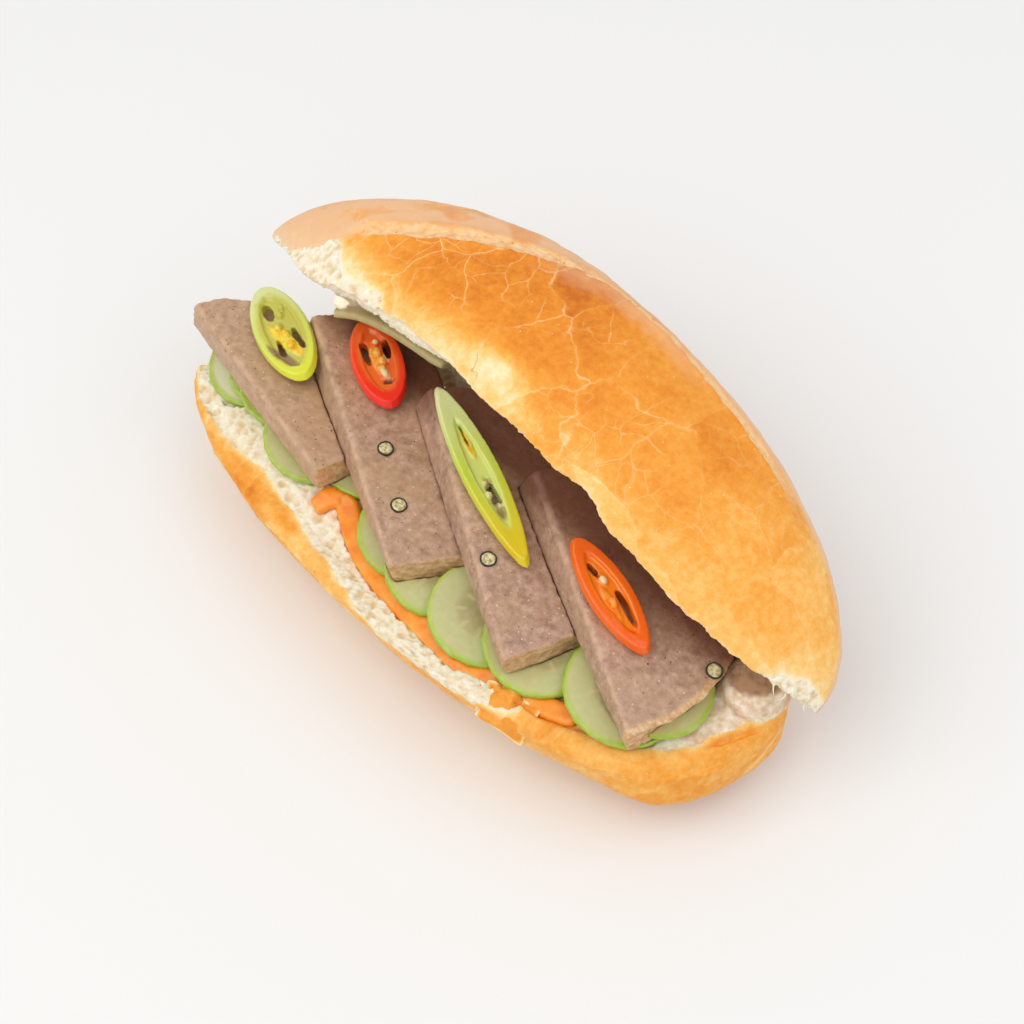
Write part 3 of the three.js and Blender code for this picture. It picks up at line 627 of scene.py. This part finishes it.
# Both in the upper half's axes: shreds as (width, path), and the lump.
SHREDS = (
    (0.26, (105, -14, -2), (106, -15, -3.2), (106.9, -15.2, -3.9)),
    (0.22, (108.4, -11.5, -1.6), (108.9, -12.2, -3.2), (108.2, -12.6, -4.2)),
    (0.28, (112.5, -3, 0), (113.4, -3.4, -1.4), (113.9, -3.0, -2)),
)
LUMP_PLACE = (-62.5, -34, -1.2)
LUMP_SIZE = (2.6, 1.8, 1.8)
scraps = [
    shred([on_half(UPPER_HALF, place) for place in path], width, 70 + i)
    for i, (width, *path) in enumerate(SHREDS)
]
scraps.append(blob(on_half(UPPER_HALF, LUMP_PLACE), LUMP_SIZE, 76))
crumbs, crumb_faces = joined(scraps)
plain = dict.fromkeys(("pore", "web", "soaked"), np.zeros(len(crumbs)))
build_piece("torn_crumbs", "bread", crumbs, crumb_faces, crumb_material, "bread", **plain)

# The flake's corners in the lower half's axes: two inside the lip, the free one, and the last.
FLAKE = ((38.5, -43, 0.6), (57, -40.5, 0.8), (56, -50, -9), (41, -50.5, -4))
FLAKE_STEPS = (30, 24)
FLAKE_THICK = 0.9
FLAKE_STANDS_OFF = 1.7
rightwards, outwards = np.meshgrid(*(np.linspace(0, 1, steps) for steps in FLAKE_STEPS))
right, out = rightwards[..., None], outwards[..., None]
inner_left, inner_right, free, outer_left = (on_half(LOWER_HALF, corner) for corner in FLAKE)
inner_edge = inner_left * (1 - right) + inner_right * right
outer_edge = outer_left * (1 - right) + free * right
flat_flake = (inner_edge * (1 - out) + outer_edge * out).reshape(-1, 3)
flat_flake += drifting(flat_flake, 2.4, 90) * 0.4
beneath = np.flatnonzero(~upper & (np.abs(low_along - 48) < 18) & (low_across < -30))
nearest = beneath[[np.argmin(((dough[beneath] - p) ** 2).sum(axis=1)) for p in flat_flake]]
clinging = dough[nearest] + outward[nearest] * FLAKE_STANDS_OFF
freed = (right * out).reshape(-1, 1) ** 1.3
flake_middle = clinging * (1 - freed) + flat_flake * freed
columns, rows = FLAKE_STEPS
cells = np.arange(columns * rows).reshape(rows, columns)
cell_corners = [cells[:-1, :-1], cells[:-1, 1:], cells[1:, 1:], cells[1:, :-1]]
flake_top = np.stack(cell_corners, axis=-1).reshape(-1, 4)
flake_middle = relaxed(flake_middle, edges_of(flake_top), 3)
flake_out = normals_of(flake_middle, flake_top)
flake_out *= np.sign((flake_out * outward[nearest]).sum())
border = np.concatenate([cells[0, :-1], cells[:-1, -1], cells[-1, :0:-1], cells[:0:-1, 0]])
following = np.roll(border, -1)
below = columns * rows
flake_sides = np.stack([border, following, following + below, border + below], axis=1)
half_thick = flake_out * FLAKE_THICK / 2
flake_points = np.vstack([flake_middle + half_thick, flake_middle - half_thick])
flake_faces = np.vstack([flake_top, flake_top[:, ::-1] + below, flake_sides])
from_edge = np.min([rightwards, 1 - rightwards, outwards, 1 - outwards], axis=0).ravel()
flake_bake = 0.14 + 0.56 * smoothstep(from_edge, 0.01, 0.1) + 0.08 * cloudy(flake_middle, 5, 95)
none = np.zeros(2 * below)
build_piece(
    "crust_flake", "bread", flake_points, flake_faces, crust_material, "bread",
    bake=np.tile(flake_bake, 2), dust=none, slash=none, crackle=none, skin=flake_points * MM,
)

# ---- Carrot ----
# Long ribbons pared from a raw carrot, wet from their pickling brine and laid along the lip.


def wet_carrot():
    """Bright orange with paler veins, glossy with brine, and lit from within."""
    material, add, place = new_material(
        "pickled_carrot", Subsurface_Weight=0.3, Subsurface_Scale=2 * MM, IOR=1.4, Coat_Weight=0.3,
        Coat_Roughness=0.15, Roughness=0.3,
    )
    veins = add("TexNoise", {"Scale": per_mm(5), "Detail": 4, "Vector": place})
    fine = add("TexNoise", {"Scale": per_mm(1.4), "Detail": 3, "Vector": place})
    tone = add("ValToRGB", (veins,), stops=((0.3, "#f27c10"), (0.5, "#ff961e"), (0.72, "#ffab40")))
    bump = add("Bump", {"Strength": 0.15, "Distance": 0.15 * MM, "Height": fine})
    set_shader(material, Base_Color=tone, Normal=bump)
    return material


CARROT_PITCH = 0.4
CARROT_SWELL = 0.6  # the wet ribbons are this much plumper than their solids on each side
carrot_material = wet_carrot()
for node in ("carrot_ribbon_1", "carrot_ribbon_2"):
    points, faces, edges = even_surface(node, CARROT_PITCH)
    points = faired(points, edges, 12)
    swell = CARROT_SWELL + 0.08 * cloudy(points, 4, 31)
    points += normals_of(points, faces) * swell[:, None]
    build_piece(f"{node}_pared", node, points, faces, carrot_material, "carrot")

# ---- Cucumber ----
# Thin raw slices, with a narrow rim of green skin round pale, watery flesh and a seeded middle.

SLICE_PITCH = 0.5
SLICE_RADII = (13, 19.5)  # no slice is smaller or larger than this
RIM_TRIES = 1500
NEARLY_IN_LINE = 40  # four times the area of too thin a triangle
NEAR_RIM = 0.5  # points this near a circle lie on it
guess = np.random.default_rng(7)


def flat_axes(points):
    """The middle of a flat piece and its long, cross and upward directions."""
    middle = points.mean(axis=0)
    long_way, _, up = np.linalg.svd(points - middle, full_matrices=False)[2]
    up = up * np.sign(up[2])
    long_way = long_way * (1 if long_way[1] < 0 else -1)
    return middle, long_way, np.cross(up, long_way), up


def rim_circle(flat):
    """Centre and radius of the circle that most of a slice's outermost points lie on."""
    best, found = 0, None
    for _ in range(RIM_TRIES):
        corner, second, third = flat[guess.choice(len(flat), 3, replace=False)]
        one, other = second - corner, third - corner
        doubled = 2 * (one[0] * other[1] - one[1] * other[0])
        if abs(doubled) < NEARLY_IN_LINE:
            continue
        to_centre = np.array([
            other[1] * (one @ one) - one[1] * (other @ other),
            one[0] * (other @ other) - other[0] * (one @ one),
        ]) / doubled
        radius = np.linalg.norm(to_centre)
        if not SLICE_RADII[0] < radius < SLICE_RADII[1]:
            continue
        reach = np.linalg.norm(flat - corner - to_centre, axis=1)
        fits = (np.abs(reach - radius) < NEAR_RIM).sum() - 4 * (reach > radius + 0.8).sum()
        if fits > best:
            best, found = fits, (corner + to_centre, radius)
    return found


def watery_cucumber():
    """Green at the rim and pale, wet and half see-through inside, so that light goes deep."""
    material, add, place, reach, seed, pale = new_material(
        "raw_cucumber", ("reach", "seed", "pale"), Subsurface_Weight=0.5, Subsurface_Scale=3 * MM,
        IOR=1.36, Coat_Weight=0.4, Coat_Roughness=0.12, Roughness=0.3,
    )
    wander, cloud, cells = (
        add("TexNoise", {"Scale": per_mm(pitch), "Detail": detail, "Vector": place})
        for pitch, detail in ((5, 3), (2.5, 4), (0.9, 3))
    )
    radial = add("Math", (reach, add("MapRange", (wander, 0, 1, -0.02, 0.02))))
    rings = add("ValToRGB", (radial,), stops=(
        (0.0, "#b0a46c"), (0.42, "#bcb27c"), (0.55, "#cac68e"), (0.9, "#c9c98c"), (0.955, "#b7c95a"),
        (0.985, "#9dbd3a"),
    ))
    watery = add("MapRange", (cloud, 0.45, 0.75, 0, 0.3))
    # The pale layer is painted light: slices lit from behind are painted paler.
    colour = laid_over(add, rings, (watery, "#dcdcae"), (pale, "#eef0d4"), (seed, "#dccf98"))
    bump = add("Bump", {"Strength": 0.15, "Distance": 0.2 * MM, "Height": cells})
    set_shader(material, Base_Color=colour, Normal=bump)
    return material


PALER = {"cucumber_slice_1": 0.6, "cucumber_slice_2": 0.3}  # painted light: these slices are painted paler inside the rim, as where the light comes through
SEED_COUNT = 9
SEED_REACH = 0.4  # from the middle, as a share of the slice's radius
SEED_LONG = 2.2
SEED_WIDE = 0.8
cucumber_material = watery_cucumber()
for node in sorted(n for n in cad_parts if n.startswith("cucumber_slice")):
    points, faces, edges = even_surface(node, SLICE_PITCH)
    points = faired(points, edges, 6)
    middle, long_way, cross, _ = flat_axes(points)
    flat = np.stack([(points - middle) @ long_way, (points - middle) @ cross], axis=1)
    centre, radius = rim_circle(flat)
    from_centre = flat - centre
    reach = np.linalg.norm(from_centre, axis=1) / radius
    seed = np.zeros(len(points))
    for angle in np.arange(SEED_COUNT) * 2 * np.pi / SEED_COUNT + guess.random() * 3:
        way = np.array([np.cos(angle), np.sin(angle)])
        out = from_centre @ way - radius * (SEED_REACH + 0.05 * guess.normal())
        aside = from_centre @ (-way[1], way[0])
        from_seed = np.hypot(out / SEED_LONG, aside / SEED_WIDE)
        seed = np.maximum(seed, 1 - smoothstep(from_seed, 0.6, 1.1))
    relief = 0.1 * cloudy(points, 4, 41) + 0.12 * seed - 0.12 * smoothstep(0.55 - reach, 0, 0.1)
    points += normals_of(points, faces) * relief[:, None]
    pale = np.full(len(points), PALER.get(node, 0.0)) * (1 - smoothstep(reach, 0.86, 0.96))
    build_piece(
        f"{node}_cut", node, points, faces, cucumber_material, "cucumber",
        reach=reach, seed=seed * 0.6, pale=pale,
    )
points, faces, edges = even_surface("cucumber_long", SLICE_PITCH)
points = relaxed(points, edges, 8)
middle, _, cross, _ = flat_axes(points)
side = np.abs((points - middle) @ cross)
side /= side.max()
build_piece(
    "cucumber_long_cut", "cucumber_long", points, faces, cucumber_material, "cucumber",
    reach=0.1 + 0.2 * side, seed=0.3 * side, pale=np.zeros(len(points)),
)

# ---- Pork roll ----
# Slabs cut from a steamed roll of finely ground pork: dense, moist and grey-pink, full of specks
# of pepper and tiny air pits, with a browner skin where a slab ends at the outside of the roll.


def steamed_pork():
    """Dense, moist and dull, grey-pink with dark and pale flecks, and tan with fibres at its skin;
    painted highlights on its top edges and painted shadow deep in the mouth.
    """
    material, add, place, warm, edge, skin, damp = new_material(
        "steamed_pork_roll", ("warm", "edge", "skin", "damp"), Subsurface_Weight=0.15,
        Subsurface_Scale=1.5 * MM, IOR=1.4, Coat_Weight=0.15, Coat_Roughness=0.3, Roughness=0.5,
    )
    ground, wide, fibre, fine = (
        add("TexNoise", {"Scale": per_mm(pitch), "Detail": detail, "Roughness": rough, "Vector": place})
        for pitch, detail, rough in ((3, 7, 0.72), (16, 2, 0.5), (2, 5, 0.7), (0.8, 5, 0.7))
    )
    meat = add("ValToRGB", (ground,), stops=(
        (0.36, "#93705f"), (0.46, "#ad8a76"), (0.55, "#be9a86"), (0.66, "#d0af9a"),
    ))
    skin_tone = add("ValToRGB", (fibre,), stops=((0.35, "#b98c5c"), (0.5, "#d9ae7c"), (0.65, "#eecda2")))
    pepper = specks(add, place, 1.7, 0.28, 0.33)
    # Laid over the meat are flecks, the skin, a painted highlight along the top edges and painted shadow
    # deep in the mouth.
    colour = laid_over(
        add, meat, (add("MapRange", (wide, 0.4, 0.7, 0, 0.45)), "#bb9672"), (warm, "#c8a276"),
        (specks(add, place, 3.1, 0.55, 0.4), "#d9ab93"), (specks(add, place, 2.3, 0.35, 0.35), "#ddc3b2"),
        (pepper, "#4c332b"), (specks(add, place, 4.3, 0.42, 0.3), "#3b2822"), (edge, "#d9b18e"),
        (skin, skin_tone), (damp, "#66301f"),
    )
    height = add("Math", (fine, pepper), operation="SUBTRACT")
    bump = add("Bump", {"Strength": 0.4, "Distance": 0.25 * MM, "Height": height})
    set_shader(material, Base_Color=colour, Normal=bump)
    return material


WARMTH = {"pork_slab_1": 0.42, "pork_slab_2": 0.22, "pork_slab_3": 0.05, "pork_slab_4": 0.12}
DAMP_WITHIN = (3, 14)  # painted shadow of the upper half: deep in the mouth the meat is painted darker than in front of it
DAMP = 0.85
RIND_ON = "pork_slab_4"  # this slab keeps the roll's skin along its front end
SLAB_PITCH = 0.55
PIT_DEPTH = 0.5
FIBRE_HEIGHT = 0.4
pork_material = steamed_pork()
for node in sorted(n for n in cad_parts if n.startswith("pork_slab")):
    points, faces, edges = even_surface(node, SLAB_PITCH)
    points = relaxed(points, edges, 2)
    outward = normals_of(points, faces)
    middle, long_way, cross, up = flat_axes(points)
    facing = outward @ up
    end_face = relaxed(((np.abs(outward @ long_way) > 0.55) & (facing < 0.6)).astype(float), edges, 3)
    # Painted highlight: the rounded edges between a slab's top and its sides, except on one side, are
    # painted paler where they catch the light.
    edge = relaxed(((facing > 0.5) & (facing < 0.85)).astype(float), edges, 2) * (outward @ cross < 0.2)
    edge = edge * smoothstep(cloudy(points, 3, 56, 2), -0.5, 0.4)
    pit = 1 - smoothstep(to_nearest(points, 3.6, 51), 0.07, 0.17)
    pit = pit * smoothstep(cloudy(points, 8, 52), -0.3, 0.2)
    fibres = np.stack([points @ long_way, points @ cross * 0.3, points @ up], axis=1)
    fibrous = cloudy(fibres, 1.8, 55)
    relief = 0.22 * cloudy(points, 8, 53) + 0.1 * cloudy(points, 1.6, 54, 2) - PIT_DEPTH * pit
    relief += FIBRE_HEIGHT * fibrous * end_face
    points = points + outward * relief[:, None]
    skin = end_face * 0.85
    if node == RIND_ON:
        wall = (facing < 0.5) & (outward @ long_way > 0.25)
        skin = np.maximum(skin, 0.85 * smoothstep(relaxed(wall.astype(float), edges, 70), 0.04, 0.2))
    # Painted shadow: meat close under the upper half's cut is painted dark brown.
    in_front_of_cut = 1.5 * cloudy(points, 5, 57, 2) - seen_from(UPPER_HALF, points)[:, 2]
    damp = (1 - smoothstep(in_front_of_cut, *DAMP_WITHIN)) * DAMP
    build_piece(
        f"{node}_cut", node, points, faces, pork_material, "pork_roll",
        skin=skin, edge=np.clip(edge, 0, 1) * 0.7, warm=np.full(len(points), WARMTH[node]), damp=damp,
    )

# ---- Peppercorns ----
# Black peppercorns that the knife cut through with the meat: a wrinkled dark rind round a pale,
# floury middle.

# Each is (slab, place, the way its cut face looks), and the profiles are (radius, height).
PEPPERCORNS = (
    ("pork_slab_2", (-29.7, 1.3, 51.9), (0.185, 0.11, 0.977)),
    ("pork_slab_2", (-14.1, -11.9, 50.0), (0.172, 0.092, 0.981)),
    ("pork_slab_3", (21.8, -13.9, 54.1), (0.212, 0.102, 0.972)),
    ("pork_slab_4", (93.0, -3.3, 44.8), (0.233, 0.077, 0.969)),
)
RIND = ((2.45, -0.6), (2.6, 0.25), (2.5, 0.7), (2.3, 0.8), (2.1, 0.55))
HEART = ((2.2, 0.3), (1.9, 0.66), (1.0, 0.78), (0.02, 0.66))


def turned(profile, place, axis, seed, sides=28):
    """A profile of (radius, height) turned round an axis at a place, a little uneven."""
    tilt = Vector((0, 0, 1)).rotation_difference(Vector(axis)).to_matrix()
    angles = np.arange(sides) * 2 * np.pi / sides
    points = np.array([
        (radius * np.cos(angle), radius * np.sin(angle), height)
        for radius, height in profile
        for angle in angles
    ])
    points *= (1 + 0.07 * cloudy(points, 1.7, seed))[:, None]
    return points @ np.array(tilt).T + place, tube_faces(len(profile), sides)


def cut_pepper(name, roughness, ior, pitch, stops, strength, depth):
    """One part of a cut corn: cloudy in its tones and wrinkled to a depth, both at one pitch."""
    material, add, place = new_material(name, Roughness=roughness, IOR=ior)
    cloud = add("TexNoise", {"Scale": per_mm(pitch), "Detail": 4, "Vector": place})
    bump = add("Bump", {"Strength": strength, "Distance": depth * MM, "Height": cloud})
    set_shader(material, Base_Color=add("ValToRGB", (cloud,), stops=stops), Normal=bump)
    return material


RIND_TONES = ((0.3, "#1e1b14"), (0.7, "#4a4534"))
HEART_TONES = ((0.34, "#a08e5c"), (0.5, "#d6ca98"), (0.66, "#f2ebc8"))
rind_material = cut_pepper("black_pepper_rind", 0.5, 1.45, 0.8, RIND_TONES, 0.6, 0.2)
heart_material = cut_pepper("cut_pepper_heart", 0.6, 1.4, 1.2, HEART_TONES, 0.4, 0.15)
for number, (node, place, axis) in enumerate(PEPPERCORNS, 1):
    for part, profile, material in (("rind", RIND, rind_material), ("heart", HEART, heart_material)):
        points, faces = turned(profile, place, axis, 80 + number)
        build_piece(f"peppercorn_{number}_{part}", node, points, faces, material, "pork_roll")

# ---- Chilli ----
# Fresh chillies cut slantwise: a glossy skin, a thick juicy wall, and pale ribs with flat seeds
# round the hollows inside.


def fresh_chilli(name, tones):
    """Glossy and juicy. Tones: flesh from the back to the front, inner face, ribs, pith, and hollows,
    which are painted shade.
    """
    *flesh_tones, inner_tone, rib_tone, pith_tone, hollow_tone = tones
    material, add, place, ripe, inner, rib, hollow, seed = new_material(
        name, ("ripe", "inner", "rib", "hollow", "seed"), Subsurface_Weight=0.3,
        Subsurface_Scale=2 * MM, IOR=1.4, Coat_Weight=0.5, Coat_Roughness=0.1, Roughness=0.25,
    )
    ripeness = add("MapRange", (ripe, -0.8, 0.8))
    flesh = add("ValToRGB", (ripeness,), stops=tuple(zip((0, 0.45, 1), flesh_tones)))
    ribs = add("TexNoise", {"Scale": per_mm(2.6), "Detail": 3, "Vector": place})
    ribbed = add("ValToRGB", (ribs,), stops=((0.42, rib_tone), (0.58, pith_tone)))
    colour = laid_over(
        add, flesh, (inner, inner_tone), (rib, ribbed), (hollow, hollow_tone), (seed, "#f0deac"),
    )
    bump = add("Bump", {"Strength": 0.15, "Distance": 0.2 * MM, "Height": ribs})
    set_shader(material, Base_Color=colour, Normal=bump)
    return material


OUTLINE_STEPS = 90
OUTLINE_ROUNDS = 14


def rounded_outline(points, middle, long_way, cross):
    """A flat ring whose outline loses its corners: each bearing's reach becomes a smooth curve."""
    along, across = (points - middle) @ long_way, (points - middle) @ cross
    stretch = np.abs(across).max() / np.abs(along).max()
    bearing = np.arctan2(across, along * stretch)
    reach = np.hypot(across, along * stretch)
    bins = ((bearing / (2 * np.pi) + 0.5) * OUTLINE_STEPS).astype(int) % OUTLINE_STEPS
    farthest = np.zeros(OUTLINE_STEPS)
    np.maximum.at(farthest, bins, reach)
    smooth = farthest
    for _ in range(OUTLINE_ROUNDS):
        smooth = (np.roll(smooth, 1) + 2 * smooth + np.roll(smooth, -1)) / 4
    change = smooth / farthest - 1
    place = (bearing / (2 * np.pi) + 0.5) * OUTLINE_STEPS - 0.5
    by = np.interp(place, np.arange(OUTLINE_STEPS), change, period=OUTLINE_STEPS)
    by *= smoothstep(reach / farthest[bins], 0.6, 0.95)
    return points + (along * by)[:, None] * long_way + (across * by)[:, None] * cross


def ovals(along, across, shapes):
    """1 inside any of some ovals: (place along, place across, half length, half width, degrees)."""
    covered = np.zeros(len(along))
    for place, offset, half_length, half_width, degrees in shapes:
        cosine, sine = math.cos(math.radians(degrees)), math.sin(math.radians(degrees))
        far = ((along - place) * cosine + (across - offset) * sine) / half_length
        aside = ((across - offset) * cosine - (along - place) * sine) / half_width
        covered = np.maximum(covered, 1 - smoothstep(np.hypot(far, aside), 0.75, 1.1))
    return covered


CHILLI_PITCH = 0.33
HOLLOW_DEPTH = 0.7
# Each has how pointed its outline is, the share of its reach inside the wall, and ovals within: hollows
# painted dark as shade, ribs and seeds.
CHILLIES = {
    "chilli_green_ring": {
        "slot": "chilli_green",
        "tones": ("#dbe29c", "#d3de6a", "#e0e636", "#c9c552", "#f2e040", "#f7b81c", "#94765c"),
        "pointed": 1.05,
        "inside": 0.72,
        "hollows": ((10.5, -3.6, 8.2, 2.2, 24), (6.6, 3.4, 4.4, 0.9, 10)),
        "ribs": ((4.6, -0.2, 9.5, 2.4, 20),),
        "seeds": (),
    },
    "chilli_red_ring": {
        "slot": "chilli_red",
        "tones": ("#fb6e2c", "#fb4a1c", "#fb2a14", "#fb742e", "#fdbb50", "#fe9424", "#6b3220"),
        "pointed": 1.08,
        "inside": 0.68,
        "hollows": ((-3, -3.3, 4.6, 1.1, 8), (9, 1.4, 0.9, 2, 0), (-3.6, 3.8, 3.6, 0.9, 0)),
        "ribs": ((0.5, 0, 6.4, 2.2, 8),),
        "seeds": ((6, 1, 2.4, 1.4, 5), (-0.2, 2.6, 2, 0.8, 10), (-7, 0.8, 1.4, 1.1, 0)),
    },
    "chilli_yellow_long": {
        "slot": "chilli_yellow",
        "tones": ("#e2ecae", "#c8dc4c", "#e2c81a", "#d9e47c", "#ecd640", "#f2b81c", "#937244"),
        "pointed": 1.28,
        "inside": 0.55,
        "hollows": ((9.6, 0.2, 8.2, 1.5, 0), (-13.4, 0.3, 4, 0.45, 0)),
        "ribs": ((-11, 0.3, 6.4, 1.2, 0),),
        "seeds": ((8, -0.6, 1.9, 1.2, 0), (12.5, 0.4, 1.7, 1.2, 0)),
    },
    "chilli_orange_long": {
        "slot": "chilli_orange",
        "tones": ("#fb6c14", "#fb6c08", "#f56400", "#ff8410", "#ffa030", "#ff8410", "#a2481c"),
        "pointed": 1.22,
        "inside": 0.62,
        "hollows": ((-8.6, -0.6, 2.8, 0.8, 6), (6, 1.6, 6.6, 0.9, -6)),
        "ribs": ((3.4, -1.8, 7, 1.5, -4),),
        "seeds": ((-4.5, 0.2, 1.5, 1.2, 0),),
    },
}
for node, cut in CHILLIES.items():
    points, faces, edges = even_surface(node, CHILLI_PITCH)
    points = faired(points, edges, 8)
    outward = normals_of(points, faces)
    middle, long_way, cross, up = flat_axes(points)
    points = rounded_outline(points, middle, long_way, cross)
    along, across = (points - middle) @ long_way, (points - middle) @ cross
    power = cut["pointed"]
    lens = sum((np.abs(way) / np.abs(way).max()) ** (2 / power) for way in (along, across))
    reach = lens ** (power / 2) + 0.04 * cloudy(points, 3, 62)
    core = 1 - smoothstep(reach, cut["inside"] - 0.05, cut["inside"] + 0.12)
    # Painted shade: each hollow is sunk a little and painted dark, as the shade inside it and the meat
    # seen through it.
    hollow = ovals(along, across, cut["hollows"]) * core
    rib = ovals(along, across, cut["ribs"]) * (1 - hollow) * core
    seed = ovals(along, across, cut["seeds"]) * core
    facing = smoothstep(outward @ up, -0.3, 0.1)
    within = rib * (0.45 + 0.3 * cloudy(points, 1.8, 63, 2)) - HOLLOW_DEPTH * hollow
    points += outward * (0.06 * cloudy(points, 2.5, 61) + facing * within)[:, None]
    build_piece(
        f"{node}_cut", node, points, faces, fresh_chilli(f"fresh_{node}", cut["tones"]), cut["slot"],
        ripe=along / np.abs(along).max(), inner=core, rib=rib, seed=seed * facing, hollow=hollow * 0.9,
    )

# ---- The studio ----
# A pale paper floor under soft daylight from the front left, seen from above on the right.

CAMERA_PLACE = (218.6, -211.0, 482.6)
CAMERA_AIM = (-7.89, 30.43, 0)
CAMERA_ROLL = -7.52  # degrees
SENSOR = 36
FOCAL_LENGTH = 61.89
FLOOR_REACH = 3.0  # metres, as the places of the lights are

studio = bpy.context.scene
camera = bpy.data.objects.new("camera", bpy.data.cameras.new("camera"))
studio.collection.objects.link(camera)
camera.data.sensor_width = SENSOR
camera.data.lens = FOCAL_LENGTH
sight = Vector(CAMERA_AIM) - Vector(CAMERA_PLACE)
rolled = sight.to_track_quat("-Z", "Y").to_matrix() @ Matrix.Rotation(math.radians(CAMERA_ROLL), 3, "Z")
camera.matrix_world = Matrix.Translation(Vector(CAMERA_PLACE) * MM) @ rolled.to_4x4()
camera.data.clip_start = 0.01
studio.camera = camera

corners = [(x * FLOOR_REACH, y * FLOOR_REACH, 0) for x, y in ((-1, -1), (1, -1), (1, 1), (-1, 1))]
floor_mesh = bpy.data.meshes.new("floor")
floor_mesh.from_pydata(corners, [], [(0, 1, 2, 3)])
floor = bpy.data.objects.new("floor", floor_mesh)
studio.collection.objects.link(floor)
floor_mesh.materials.append(new_material("floor_paper", Base_Color="#ecebe8", Roughness=0.9)[0])

world = bpy.data.worlds.new("studio")
world.use_nodes = True
set_inputs(world.node_tree.nodes["Background"], {"Color": "#f4f7fb", "Strength": 0.78})
studio.world = world

LIGHTS = {
    "window": ((-0.3, -0.6, 1.2), 1.2, 7.6, "#fff8ee"),
    "sky": ((0.75, 0.3, 1.1), 1.2, 4, "#f2f6ff"),
}
for name, (place, size, power, colour) in LIGHTS.items():
    lamp = bpy.data.lights.new(name, "AREA")
    lamp.size = size
    lamp.energy = power
    lamp.color = linear(colour)[:3]
    stand = bpy.data.objects.new(name, lamp)
    studio.collection.objects.link(stand)
    stand.location = place
    stand.rotation_euler = (-Vector(place)).to_track_quat("-Z", "Y").to_euler()
studio.view_settings.view_transform = "Standard"
